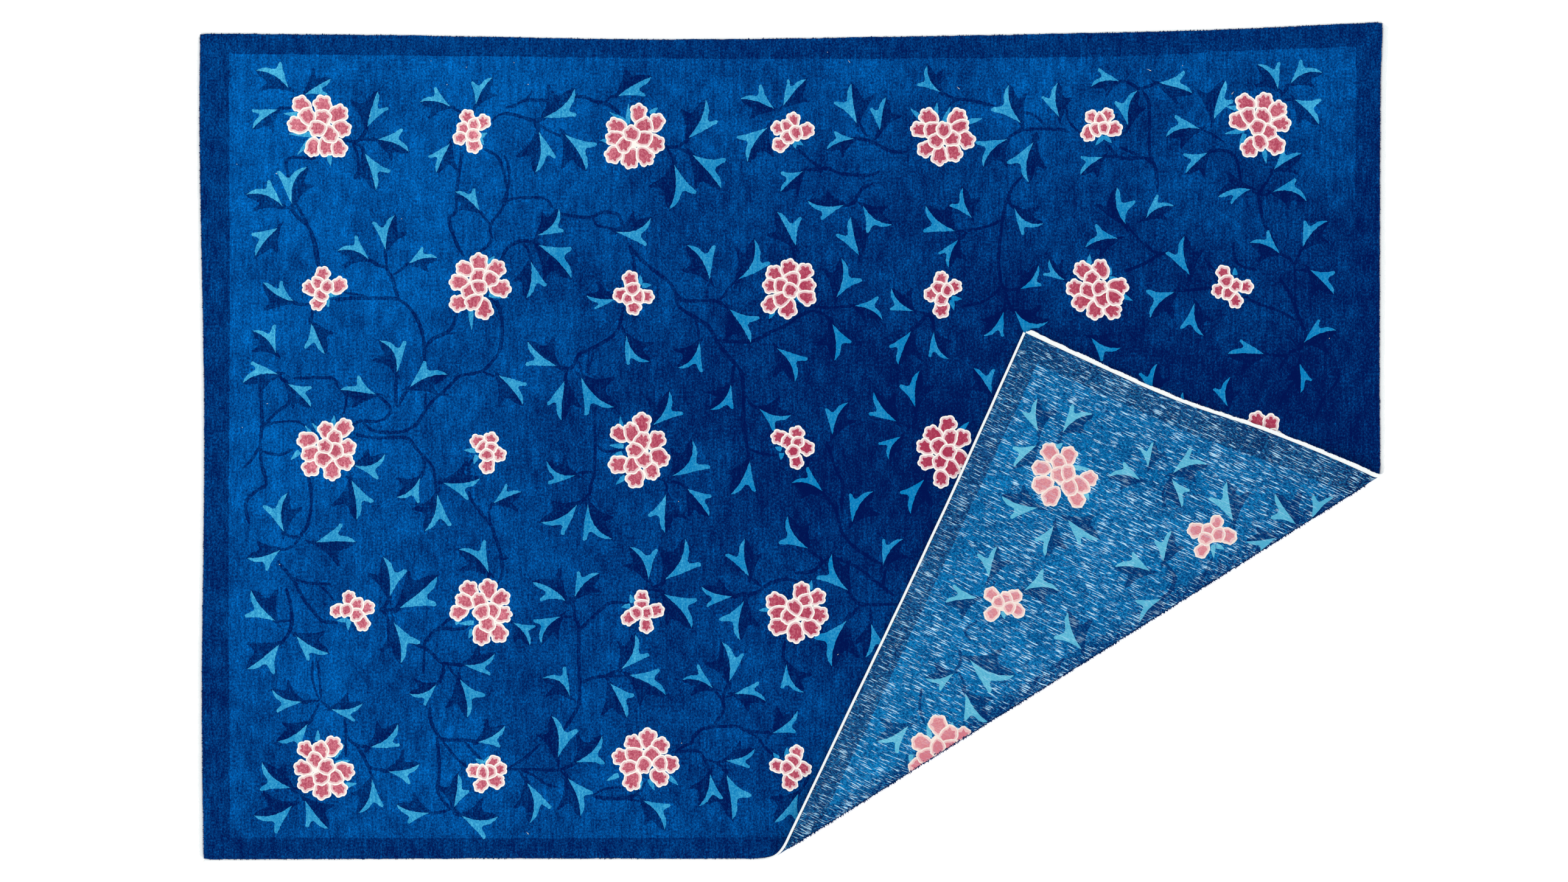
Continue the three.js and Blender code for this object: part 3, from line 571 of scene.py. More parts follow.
def corners(edges, side_in=0.0, end_in=0.0):
    """Where the four edges meet, moved inwards: near left, near right, far right, far left. x and y are read
    from the other's edge in turn, which settles within a few rounds."""
    found = []
    for side, end in (("bottom", "left"), ("bottom", "right"), ("top", "right"), ("top", "left")):
        up, right = 1 if side == "bottom" else -1, 1 if end == "left" else -1
        x, y = float(edges[end][0][1]), float(edges[side][0][1])
        for _ in range(6):
            x = float(edge_at(edges[end], y)) + right * end_in
            y = float(edge_at(edges[side], x)) + up * side_in
        found.append((x, y))
    return np.array(found)


def outline(edges, stations, side_in=0.0, end_in=0.0):
    """The sheet's outline, anticlockwise from the near left corner. stations holds, for each side in turn,
    the shares of the side at which a point lies."""
    corner = corners(edges, side_in, end_in)
    rows = []
    for i, name in enumerate(("bottom", "right", "top", "left")):
        start, end = corner[i], corner[(i + 1) % 4]
        level = name in ("bottom", "top")
        inward = (side_in if level else end_in) * (1 if name in ("bottom", "left") else -1)
        axis = 0 if level else 1
        at = start[axis] + stations[i] * (end[axis] - start[axis])
        across = edge_at(edges[name], at) + inward
        rows.append(np.stack([at, across] if level else [across, at], 1))
    return np.concatenate(rows)


def beyond_fold(flat):
    """How far flat points lie beyond the line where the roll starts."""
    return flat @ FOLD_NORMAL - ROLL_START


def bend_stations(step):
    """Shares along each side: even steps, and on the near side and the right end exactly where the cloth's
    bends cross it. Returns them and the outline's two indices of each bend."""
    bends = np.concatenate([
        np.linspace(0, ROLL_LENGTH, ROLL_BENDS),
        ROLL_LENGTH + SETTLE * np.arange(1, SETTLE_BENDS + 1) / SETTLE_BENDS,
    ])
    corner = corners(EDGES)
    dense = np.linspace(0, 1, 20001)
    sides = outline(EDGES, [dense] * 4).reshape(4, -1, 2)
    stations, ends = [], []
    for i, name in enumerate(("bottom", "right", "top", "left")):
        length = abs(corner[(i + 1) % 4] - corner[i]).max()
        shares = np.linspace(0, 1, max(int(length / step), 2), endpoint=False)
        if name in ("bottom", "right"):
            past = beyond_fold(sides[i])
            order = np.argsort(past)
            exact = np.interp(bends, past[order], dense[order])
            close = np.abs(shares[:, None] - exact[None, :]).min(1) < BEND_CLEAR / length
            close[0] = False
            shares = np.sort(np.concatenate([shares[~close], exact]))
            ends.append(np.searchsorted(shares, exact) + sum(map(len, stations)))
        stations.append(shares)
    return stations, list(zip(*ends))


def wander(count, spacing, amount, rng):
    """Smooth random values round a closed line: random ones a few points apart, joined by straight lines."""
    knots = rng.uniform(-amount, amount, max(int(count / spacing), 3))
    at = np.linspace(0, len(knots), count, endpoint=False)
    return np.interp(at, np.arange(len(knots) + 1), np.append(knots, knots[0]))


def outward(loop):
    """Unit normals of an anticlockwise closed line of points, pointing out of it."""
    run = np.roll(loop, -1, 0) - np.roll(loop, 1, 0)
    run /= np.linalg.norm(run, axis=1)[:, None]
    return np.stack([run[:, 1], -run[:, 0]], 1)


def lay(flat, height):
    """Lays flat points that are height above the cotton back, in metres: unmoved in the lower layer, then
    round a half turn about the roll's middle, then back over the face, coming down to it in half a cosine
    wave. Heights are measured square to the cloth, so on the flap they point down."""
    past = beyond_fold(flat)
    turn = np.clip(past, 0, ROLL_LENGTH) / ROLL_NEUTRAL
    reach_roll = (ROLL_RADIUS - height) * np.sin(turn)
    z_roll = ROLL_RADIUS - (ROLL_RADIUS - height) * np.cos(turn)
    run = past - ROLL_LENGTH
    drop = 2 * ROLL_RADIUS - FLAP_HEIGHT
    phase = math.pi * np.clip(run / SETTLE, 0, 1)
    slope = drop * math.pi * np.sin(phase) / (2 * SETTLE)
    along = np.hypot(1, slope)
    reach_flap = -run + height * slope / along
    z_flap = FLAP_HEIGHT + drop * (1 + np.cos(phase)) / 2 - height / along
    move = np.where(past <= 0, 0, np.where(run < 0, reach_roll, reach_flap) - past)
    z = np.where(past <= 0, height, np.where(run < 0, z_roll, z_flap))
    level = flat + move[:, None] * FOLD_NORMAL + SHEET_SHIFT
    return np.column_stack([level, z]) / 1000


def lay_grid(flat, height):
    """lay() for a grid of points."""
    return lay(flat.reshape(-1, 2), height.ravel()).reshape(*height.shape, 3)


def unfold(seen):
    """The flat place of a point seen on the flap: mirrored across the fold, less what the roll takes."""
    seen = np.asarray(seen, float)
    return seen + (2 * ROLL_START + ROLL_LENGTH - 2 * seen @ FOLD_NORMAL)[..., None] * FOLD_NORMAL


# The pattern

# A leaf's halves in its own length: along the midrib from its base, and out from it. The outer edge runs
# out to a blunt barb, comes in to a deep round notch and goes on as a narrow blade to the tip.
LIGHT_HALF = [
    (0, 0), (.1, .06), (.25, .17), (.4, .29), (.5, .4), (.56, .47), (.61, .46), (.62, .4), (.58, .31),
    (.55, .23), (.58, .17), (.66, .15), (.78, .14), (.9, .09), (1, 0), (.85, .01), (.7, .02), (.5, .02),
    (.3, .01), (.15, 0),
]
DARK_HALF = [
    (-.24, .02), (-.1, .05), (.05, .12), (.22, .22), (.38, .33), (.52, .47), (.6, .54), (.64, .5), (.61, .4),
    (.58, .29), (.61, .22), (.7, .18), (.82, .15), (.94, .08), (1.04, -.01), (.9, -.04), (.6, -.06),
    (.3, -.04), (.05, -.04), (-.12, -.03),
]
BARB = 0.2  # what lies further out than this is the barb, which alone varies from leaf to leaf

IVORY_RING, PINK_RING = 4.4, 5.2  # widths of a petal's two outer rings
# Each of a petal's three outlines: how far inside the petal's edge it lies, and how deep its notches are
PETAL_RINGS = ((0, 0.2), (IVORY_RING, 0.22), (IVORY_RING + PINK_RING, 0.34))
PETAL_YARNS = ("ivory", "pale_pink", "rose")
OVER, UNDER = 3.5, 10.0  # how far past half way a petal goes over a lower one, and under a higher one
HEART = 1.1  # radius of the patch under a blossom's heart, in its petals' size

# A sepal's blade: places along it, as shares of its length, and half its width there
SEPAL_ALONG = np.array([0, .15, .35, .6, .85, 1.0])
SEPAL_HALF = 7.5 * np.array([.8, 1, 1, .75, .35, .1])

FIELD_SIDES = (3370, 2360, 3370, 2360)  # rough lengths of the field's sides, for the number of points
RANK_STEP = 10  # room between the ranks of two petals, for their three colours


def knotted(points, step, rng, waver=0.8):
    """A closed outline as knots give it: a point each step along its straight stretches, each moved aside at
    random by less than a knot."""
    points = np.asarray(points, float)
    after = np.roll(points, -1, 0)
    count = np.maximum(np.ceil(np.linalg.norm(after - points, axis=1) / step).astype(int), 1)
    row = np.repeat(np.arange(len(points)), count)
    share = (np.arange(len(row)) - np.repeat(np.cumsum(count) - count, count)) / count[row]
    line = points[row] + share[:, None] * (after - points)[row]
    return line + rng.uniform(-waver, waver, line.shape)


def leaf_outlines(rows, step, rng):
    """The dark and the light half of each leaf. A half's points go from the leaf's own length to the sheet:
    along its axis and across it, with the bow added as 4 b t (1 - t)."""
    darks, lights = [], []
    for x0, y0, x1, y1, side, bow in rows:
        axis = np.array([x1 - x0, y1 - y0], float)
        across = np.array([-axis[1], axis[0]])
        for half, into, sign in ((DARK_HALF, darks, -side), (LIGHT_HALF, lights, side)):
            t, out = np.array(half).T
            barb = np.clip(out / BARB - 1, 0, 1)
            out = out * (1 + barb * rng.uniform(-0.16, 0.14))
            t = t + barb * rng.uniform(-0.07, 0.06)
            shift = sign * out + 4 * bow * np.clip(t, 0, 1) * (1 - np.clip(t, 0, 1))
            points = np.array([x0, y0]) + t[:, None] * axis + shift[:, None] * across
            into.append(knotted(points, step, rng))
    return darks, lights


def petal_outlines(blossoms, width, step, rng):
    """Each petal as three nested outlines, ivory, pale pink and rose. Round its middle the outer one is the
    least of two reaches, rounded where they meet: a fan with lobes on the side away from the blossom's heart,
    the absolute value of a cosine of the angle, and a bulging line a little past half way to each of the
    other petals. The next two are the outer one less the rings' widths, and the rose one's notches are
    deeper, so that it looks like a clover."""
    made = []
    for petals in blossoms:
        middles = np.array(petals, float)
        heart = middles.mean(0)
        for place, middle in enumerate(middles):
            others = np.delete(middles, place, 0) - middle
            half_way = np.linalg.norm(others, axis=1) / 2 + IVORY_RING / 2
            half_way += np.where(np.arange(len(others)) >= place, UNDER, OVER)
            size = width * rng.uniform(1.0, 1.2)
            away = math.atan2(*(middle - heart)[::-1]) + rng.uniform(-0.4, 0.4)
            bearing = np.arctan2(others[:, 1], others[:, 0]) - away
            lobe = math.radians(rng.uniform(50, 70))
            tilt = rng.uniform(-0.35, 0.35)
            rings = []
            for inset, depth in PETAL_RINGS:
                count = max(int(math.tau * (size - inset) / step), 10)
                angle = np.linspace(-math.pi, math.pi, count, endpoint=False)
                past_fan = (np.abs(angle + tilt) - 1.5 * lobe) / (math.pi - 1.5 * lobe)
                notch = np.abs(np.cos(math.pi * (angle + tilt) / lobe)) ** 0.7
                side = 0.82 + 0.6 * np.clip(past_fan, 0, 1) ** 1.3
                reach = size * np.where(past_fan < 0, 1 - depth * (1 - notch), side)
                facing = np.maximum(np.cos(angle[None] - bearing[:, None]), 0.001)
                limit = half_way[:, None] / facing**0.5
                reach = 1.03 * (reach**-10.0 + (limit**-10.0).sum(0)) ** -0.1
                reach = np.maximum(reach - inset, 4.0)
                spot = reach[:, None] * np.stack([np.cos(angle + away), np.sin(angle + away)], 1)
                rings.append(middle + spot + rng.uniform(-0.7, 0.7, spot.shape))
            made.append(rings)
    return made


def sepal_outlines(rows, step, rng):
    """A pointed blade from a petal's edge: its half width is that of a lens, widest near its foot."""
    made = []
    for x0, y0, x1, y1 in rows:
        axis = np.array([x1 - x0, y1 - y0], float)
        across = np.array([-axis[1], axis[0]]) / np.linalg.norm(axis)
        middle = np.array([x0, y0], float) + SEPAL_ALONG[:, None] * axis
        side = SEPAL_HALF[:, None] * across
        made.append(knotted(np.concatenate([middle - side, (middle + side)[::-1]]), step, rng, 0.7))
    return made


def smooth_line(places, step):
    """A smooth line through places: between two of them the cubic that has at each the slope of the line
    through its two neighbours."""
    padded = np.concatenate([2 * places[:1] - places[1:2], places, 2 * places[-1:] - places[-2:-1]])
    line = []
    for a, b, c, d in zip(padded, padded[1:], padded[2:], padded[3:]):
        t = np.linspace(0, 1, max(int(np.linalg.norm(c - b) / step), 2), endpoint=False)[:, None]
        second, third = 2 * a - 5 * b + 4 * c - d, 3 * b - a - 3 * c + d
        line.append(0.5 * (2 * b + (c - a) * t + second * t**2 + third * t**3))
    return np.concatenate([*line, places[-1:]])


def vine_outlines(rows, step, rng):
    """A ribbon along each row of places: a smooth line through them, with half its width to each side, which
    wanders a little and narrows at both ends. Long vines are a little wider."""
    made = []
    for row in rows:
        line = smooth_line(np.array(row, float), step)
        run = np.gradient(line, axis=0)
        run /= np.linalg.norm(run, axis=1)[:, None]
        side = np.stack([-run[:, 1], run[:, 0]], 1)
        half = rng.uniform(3.8, 4.8) + 0.9 * (len(row) > 4) + rng.uniform(-1.0, 1.0, len(line))
        index = np.arange(len(line))
        half *= np.clip(np.minimum(index + 1.5, len(line) - index + 0.5) / 3, 0.4, 1)
        made.append(np.concatenate([line - half[:, None] * side, (line + half[:, None] * side)[::-1]]))
    return made


def pattern(step):
    """All outlines of the design in the flat sheet, as (outline, rank, yarn). Where outlines overlap, the one
    with the highest rank shows: the field has rank 1, then come vines, leaves, sepals and the patches under
    the blossoms' hearts, and then each petal over the ones before it."""
    rng = np.random.default_rng(7)
    back_leaves = [
        (*unfold((x0, y0)), *unfold((x1, y1)), -side, -bow) for x0, y0, x1, y1, side, bow in FLAP_LEAVES
    ]
    back_sepals = [(*unfold((x0, y0)), *unfold((x1, y1))) for x0, y0, x1, y1 in FLAP_SEPALS]
    back_vines = [unfold(row) for row in FLAP_VINES]
    darks, lights = leaf_outlines(LEAVES + back_leaves, step, rng)
    vines = vine_outlines(VINES + back_vines, 1.6 * step, rng)
    sepals = sepal_outlines(SEPALS + back_sepals, step, rng)
    groups = ((vines, "vine"), (darks, "dark_leaf"), (lights, "light_leaf"), (sepals, "light_leaf"))
    shapes = [(line, rank, yarn) for rank, (lines, yarn) in enumerate(groups, 2) for line in lines]
    turn = np.linspace(0, math.tau, 16, endpoint=False)
    circle = np.stack([np.cos(turn), np.sin(turn)], 1)
    rank = RANK_STEP
    for width, seen, behind in (
        (LARGE_PETAL, LARGE_BLOSSOMS, FLAP_LARGE_BLOSSOMS),
        (SMALL_PETAL, SMALL_BLOSSOMS, FLAP_SMALL_BLOSSOMS),
    ):
        blossoms = seen + [[tuple(unfold(p)) for p in petals] for petals in behind]
        # A pale patch under the petals closes the small gaps round the heart
        shapes += [(np.mean(petals, 0) + width * HEART * circle, 6, "ivory") for petals in blossoms]
        for rings in petal_outlines(blossoms, width, step, rng):
            shapes += [(line, rank + i, yarn) for i, (line, yarn) in enumerate(zip(rings, PETAL_YARNS))]
            rank += RANK_STEP
    shares = [np.linspace(0, 1, int(side / (3 * step)), endpoint=False) for side in FIELD_SIDES]
    field = outline(FIELD, shares)
    shapes.append((field + rng.uniform(-1.2, 1.2, field.shape), 1, "field"))
    return shapes


def thinned(line, every):
    """One point in so many of an outline, or fewer left out where it has few."""
    return line[::min(every, max(len(line) // 8, 1))]


# The cloth

# One point in so many of an outline is used, off the flap (False) and on it (True). The coarsest are those
# that don't show from above: the flap's on the face, and the others on the back
FACE_THINNING, BACK_THINNING = {False: 1, True: 3}, {False: 4, True: 2}
MERGE = 0.02  # points nearer to each other than this become one
WORN_CORNER, WORN_SHARE = 16, 0.25  # the outline is drawn in so near to a corner, by this share
UNROLLED = 4.0  # between the rim's rings in the baked image
# The near left corner and the size of the baked image on the flat sheet. The back takes its lower half.
BAKE_CORNER, BAKE_SIZE = np.array([-1830, -1320]), np.array([3660, 5300])


def inside(points, line):
    """Which points lie inside a closed line: those from which a ray crosses it an odd number of times."""
    x, y = points[:, :1], points[:, 1:]
    (x0, y0), (x1, y1) = line.T, np.roll(line, -1, 0).T
    crosses = (y0 > y) != (y1 > y)
    with np.errstate(divide="ignore", invalid="ignore"):
        at = x0 + (y - y0) * (x1 - x0) / (y1 - y0)
    return (np.count_nonzero(crosses & (x < at), axis=1) % 2).astype(bool)


def inside_all(points, line, batch=4000):
    """inside() for many points, a batch at a time, so that the table of crossings stays small."""
    parts = [inside(points[i:i + batch], line) for i in range(0, len(points), batch)]
    return np.concatenate(parts or [np.zeros(0, bool)])


def triangulated(points, edges, count):
    """Constrained Delaunay triangles of flat points, inside the closed line that the first count of them
    make. Those stay in front of the points that are given back."""
    flat = [Vector(p) for p in points]
    points, _, faces, origin, _, _ = geometry.delaunay_2d_cdt(flat, edges, [], 0, MERGE, True)
    points = np.array([tuple(p) for p in points])
    triangles = np.array([f for f in faces if len(f) == 3])
    first = {v: i for i, group in enumerate(origin) for v in group if v < count}
    rim = np.array([first[i] for i in range(count)])
    order = np.concatenate([rim, np.setdiff1d(np.arange(len(points)), rim)])
    place = np.empty(len(order), int)
    place[order] = np.arange(len(order))
    points, triangles = points[order], place[triangles]
    return points, triangles[inside_all(points[triangles].mean(1), points[:count])]


def yarn_at(middle, shapes):
    """The yarn of each place: that of the outline with the highest rank round it."""
    rank = np.zeros(len(middle), int)
    yarn = np.zeros(len(middle), int)
    for line, level, name in shapes:
        low, high = line.min(0), line.max(0)
        near = np.flatnonzero(((middle > low) & (middle < high)).all(1) & (rank < level))
        hit = near[inside_all(middle[near], line)]
        rank[hit], yarn[hit] = level, YARNS.index(name)
    return yarn


def cut_sheet(loop, bends, shapes):
    """Triangles of one flat side of the sheet, cut along its outline, the bends and the pattern's outlines.
    Returns the points, with the outline's first, the triangles and each one's yarn. It is cut twice, the
    second time only where two yarns meet, so that outlines hidden by others cost no triangles."""
    lines = [loop] + [line for line, _, _ in shapes]
    start = np.cumsum([0] + [len(line) for line in lines])
    edges = list(bends)
    for first, line in zip(start, lines):
        index = np.arange(len(line))
        edges += np.stack([first + index, first + np.roll(index, -1)], 1).tolist()
    points, triangles = triangulated(np.concatenate(lines), edges, len(loop))
    yarn = yarn_at(points[triangles].mean(1), shapes)
    sides = np.concatenate([triangles[:, [0, 1]], triangles[:, [1, 2]], triangles[:, [2, 0]]])
    sides = np.sort(sides, 1)
    order = np.lexsort(sides.T)
    sides, beside = sides[order], np.tile(yarn, 3)[order]
    met = np.flatnonzero((sides[1:] == sides[:-1]).all(1) & (beside[1:] != beside[:-1]))
    used = np.unique(np.concatenate([np.arange(len(loop)), sides[met].ravel()]))
    edges = edges[:len(bends) + len(loop)] + np.searchsorted(used, sides[met]).tolist()
    points, triangles = triangulated(points[used], edges, len(loop))
    return points, triangles, yarn_at(points[triangles].mean(1), shapes)


def rim_rings(stations, rng):
    """The rim's rings of flat points, one for each row of RIM, and the outline's normals. The outline wavers
    as a cut pile does, and is worn back at the four corners."""
    plain = outline(EDGES, stations)
    normal = outward(plain)
    count = len(plain)
    wave = wander(count, 1.6, 1.1, rng) + wander(count, 8.0, 0.9, rng)
    near = np.linalg.norm(plain[:, None] - corners(EDGES)[None], axis=2).min(1)
    wave -= np.clip(WORN_CORNER - near, 0, WORN_CORNER) * WORN_SHARE
    wave[near < 1] -= 1.0
    rings = [
        outline(EDGES, stations, side_in, end_in) + wavy * wave[:, None] * normal
        for _, side_in, end_in, wavy in RIM
    ]
    return rings, normal


def cloth(step, edge_step):
    """The rug as one closed sheet: its points, its faces, each face's material and its two UV maps. The face
    and the back are cut along the pattern, and the rim's rings join their outlines."""
    stations, bends = bend_stations(edge_step)
    rings, normal = rim_rings(stations, np.random.default_rng(3))
    count = len(normal)
    face, back = [], []
    for line, rank, yarn in pattern(step):
        on_flap = bool(beyond_fold(line.mean(0)) > 0)
        face.append((thinned(line, FACE_THINNING[on_flap]), rank, yarn))
        back.append((thinned(line, BACK_THINNING[on_flap]), rank, yarn))
    front, front_tris, front_yarn = cut_sheet(rings[-1], bends, face)
    rear, rear_tris, rear_yarn = cut_sheet(rings[0], bends, back)
    # Points: the face, the rim's rings between face and back, then the back
    between = rings[1:-1][::-1]
    flat = np.concatenate([front, *between, rear])
    levels = [level for level, *_ in RIM[1:-1]][::-1]
    height = np.concatenate([np.full(len(front), THICKNESS), np.repeat(levels, count), np.zeros(len(rear))])
    starts = [0] + [len(front) + i * count for i in range(len(between) + 1)]
    index = np.arange(count)
    after = np.roll(index, -1)
    quads = np.concatenate([
        np.stack([upper + index, lower + index, lower + after, upper + after], 1)
        for upper, lower in zip(starts, starts[1:])
    ])
    rear_faces = rear_tris[:, ::-1] + starts[-1]
    faces = front_tris.tolist() + quads.tolist() + rear_faces.tolist()
    # The materials are the face's yarns, then the back's. The rim's two lowest strips belong to the back.
    rim_yarn = np.full(len(quads), YARNS.index("border"))
    rim_yarn[-2 * count:] += len(YARNS)
    slots = np.concatenate([front_yarn, rim_yarn, rear_yarn + len(YARNS)])
    at = np.concatenate([front_tris.ravel(), quads.ravel(), rear_faces.ravel()])
    # The baked image has the face in its upper half, the back in its lower one, and the rim unrolled
    # outwards from the face's edge
    unrolled = flat.copy()
    for i, first in enumerate(starts[1:], 1):
        unrolled[first:first + count] = rings[-1] + normal * (UNROLLED * i)
    upper = front_tris.size + quads.size
    bake = (np.concatenate([unrolled[at[:upper]], flat[at[upper:]]]) - BAKE_CORNER) / BAKE_SIZE
    bake[:upper, 1] += 0.5
    return lay(flat, height), faces, slots, {"sheet": flat[at] / 1000, "OFBake": bake}


# Meshes


def piece(name, points, faces, materials, slots=None, maps=None):
    """A mesh object at the origin from points in metres and lists of faces, with a material for each face and
    UV maps given for each face corner."""
    mesh = bpy.data.meshes.new(name)
    mesh.from_pydata(points.tolist(), [], faces)
    for material in materials:
        mesh.materials.append(material)
    if slots is not None:
        mesh.polygons.foreach_set("material_index", slots.astype(np.int32))
    for title, uv in (maps or {}).items():
        mesh.uv_layers.new(name=title).data.foreach_set("uv", uv.astype(np.float32).ravel())
    mesh.polygons.foreach_set("use_smooth", np.ones(len(mesh.polygons), bool))
    mesh.update()
    made = bpy.data.objects.new(name, mesh)
    bpy.context.scene.collection.objects.link(made)
    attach(made, "root")
    return made


def around(rings, count):
    """Quads between closed rings of count points each, and the two end caps."""
    first = (np.arange(rings - 1)[:, None] * count + np.arange(count)).ravel()
    after = (np.arange(rings - 1)[:, None] * count + (np.arange(count) + 1) % count).ravel()
    sides = np.stack([first, after, after + count, first + count], 1).tolist()
    last = (rings - 1) * count
    return sides + [list(range(count))[::-1], list(range(last, last + count))]


def swept(name, rings, material):
    """A closed solid from an array of rings, each a closed loop of points, with both ends capped. Its faces
    are turned about if its volume comes out negative."""
    points = rings.reshape(-1, 3)
    faces = around(*rings.shape[:2])
    quads = np.array(faces[:-2])
    a, b, c, d = (points[quads[:, i]] for i in range(4))
    volume = np.einsum("ij,ij->", np.cross(a, b), c) + np.einsum("ij,ij->", np.cross(a, c), d)
    if volume < 0:
        faces = [face[::-1] for face in faces]
    return piece(name, points, faces, [material])


def spikes(name, roots, tips, width, material, rng):
    """Many small tufts as one mesh: each is a three-sided spike from a root to a tip, closed at its foot."""
    run = tips - roots
    run /= np.linalg.norm(run, axis=1)[:, None]
    side = np.cross(run, rng.normal(size=run.shape))
    side /= np.linalg.norm(side, axis=1)[:, None]
    other = np.cross(run, side)
    turns = np.arange(3)[None, :, None] * math.tau / 3
    foot = roots[:, None] + width * (np.cos(turns) * side[:, None] + np.sin(turns) * other[:, None])
    points = np.concatenate([foot, tips[:, None]], 1).reshape(-1, 3)
    base = np.arange(len(roots))[:, None, None] * 4
    faces = (base + np.array([[0, 1, 3], [1, 2, 3], [2, 0, 3], [0, 2, 1]])[None]).reshape(-1, 3)
    return piece(name, points, faces.tolist(), [material])


# Materials

# The colour's depth, dye and painted light and shade together, runs from about 0, palest, to 1, deepest
DEEPEST = ((0.3, 0.1, 0.0), (1.5, 0.1, 0.0))  # m, the ends of the line along which the blue is deepest
DEEPEST_LEVEL = 1.03
FADE, FADE_END, FADE_SOFT = 0.44, 1.55, 0.3  # lost for each metre from there, up to so many, ending softly
NEARER = (0.0, -0.09, 0.0)  # more for each metre towards the near side
MOTTLE, STREAKS, PATCHES, LOTS = 2.9, 0.9, 1.1, 1.0  # what each kind of noise adds
FOLD_SHADE = 0.9  # painted shade: deeper where the back bends round the roll and turns away from the light
FOLD_SHADE_FULL = 0.72  # share of the roll up to which that is so in full
FOLD_SHADE_BEFORE, FOLD_SHADE_PAST = 20, 25  # mm before the roll and past it over which it comes and goes
ALL_DEEP, ALL_PALE = 1.4, -0.4  # depths at which the two colours of a dye are reached


def node(tree, kind, inputs=None, **settings):
    """Adds a node with its settings. Each input is given a value, or is linked if an output is given."""
    made = tree.nodes.new(kind)
    for name, value in settings.items():
        setattr(made, name, value)
    for key, value in (inputs or {}).items():
        if isinstance(value, bpy.types.NodeSocket):
            tree.links.new(value, made.inputs[key])
        else:
            made.inputs[key].default_value = value
    return made


def noise(tree, place, scale, stretch=1.0, detail=2.0, roughness=0.6):
    """Noise in the sheet's own place, with its grains drawn out along the wefts, about 0 in the mean. scale
    is in grains for each metre."""
    drawn = node(tree, "ShaderNodeMapping", {"Vector": place, "Scale": (scale, scale / stretch, 1.0)})
    grain = node(tree, "ShaderNodeTexNoise", {
        "Vector": drawn.outputs["Vector"], "Scale": 1.0, "Detail": detail, "Roughness": roughness,
    })
    centred = node(tree, "ShaderNodeMath", {0: grain.outputs["Fac"], 1: 0.5}, operation="SUBTRACT")
    return centred.outputs[0]


def total(tree, parts, start=0.0):
    """The sum of values, each times its amount."""
    for value, amount in parts:
        inputs = {0: value, 1: amount, 2: start}
        start = node(tree, "ShaderNodeMath", inputs, operation="MULTIPLY_ADD").outputs[0]
    return start


def dye_and_light_level(tree, place):
    """How deep the sheet's blue is at a place: less with the distance to the line where it is deepest and
    more towards the near side, a gradient that is partly dye and partly painted light and shade, and uneven
    from one dye lot to the next."""
    nearest = node(tree, "ShaderNodeVectorMath", {0: place, 1: DEEPEST[0]}, operation="MAXIMUM")
    nearest = node(tree, "ShaderNodeVectorMath", {0: nearest.outputs[0], 1: DEEPEST[1]}, operation="MINIMUM")
    away = node(tree, "ShaderNodeVectorMath", {0: place, 1: nearest.outputs[0]}, operation="DISTANCE")
    inputs = {0: away.outputs["Value"], 1: FADE_END, 2: FADE_SOFT}
    away = node(tree, "ShaderNodeMath", inputs, operation="SMOOTH_MIN").outputs[0]
    lots = noise(tree, place, 3.4, 1.0, 3.0, 0.55)
    nearer = node(tree, "ShaderNodeVectorMath", {0: place, 1: NEARER}, operation="DOT_PRODUCT")
    return total(tree, [(away, -FADE), (lots, LOTS), (nearer.outputs["Value"], 1.0)], DEEPEST_LEVEL)


def fold_painted_shade(tree, place):
    """Painted shade on the back round the fold: 1 round the roll, where the cloth turns away from the light,
    and 0 on the flap and the lower layer.
    """
    past = node(tree, "ShaderNodeVectorMath", {0: place, 1: (*FOLD_NORMAL, 0)}, operation="DOT_PRODUCT")
    upper = node(tree, "ShaderNodeMapRange", {
        "Value": past.outputs["Value"], "From Min": (ROLL_START + ROLL_LENGTH + FOLD_SHADE_PAST) / 1000,
        "From Max": (ROLL_START + FOLD_SHADE_FULL * ROLL_LENGTH) / 1000,
    })
    lower = node(tree, "ShaderNodeMapRange", {
        "Value": past.outputs["Value"], "From Min": (ROLL_START - FOLD_SHADE_BEFORE) / 1000,
        "From Max": ROLL_START / 1000,
    })
    inputs = {0: upper.outputs["Result"], 1: lower.outputs["Result"]}
    return node(tree, "ShaderNodeMath", inputs, operation="MINIMUM").outputs[0]


def flecked(tree, place, paint, fleck):
    """A colour with the pale weft over it that shows between the knots of the back: in small flecks, a little
    more in some places than in others, and in single lines about 3 mm wide and 30 mm long."""
    loops = noise(tree, place, 240.0, 2.2, 3.0, 0.75)
    cluster = noise(tree, place, 7.0, 1.5)
    lines = noise(tree, place, 290.0, 12.0, 2.0, 0.6)
    for grains, low, high, most, tint in (
        (loops, -0.01, 0.11, 0.5, "#2CA0E0"), (lines, 0.075, 0.14, 0.95, "#B4DEF6"),
    ):
        shown = node(tree, "ShaderNodeMapRange", {
            "Value": total(tree, [(grains, 1.0), (cluster, 0.12)]), "From Min": low, "From Max": high,
            "To Max": most * fleck,
        })
        inputs = {"Factor": shown.outputs["Result"], "A": paint, "B": linear(tint)}
        paint = node(tree, "ShaderNodeMix", inputs, data_type="RGBA").outputs["Result"]
    return paint


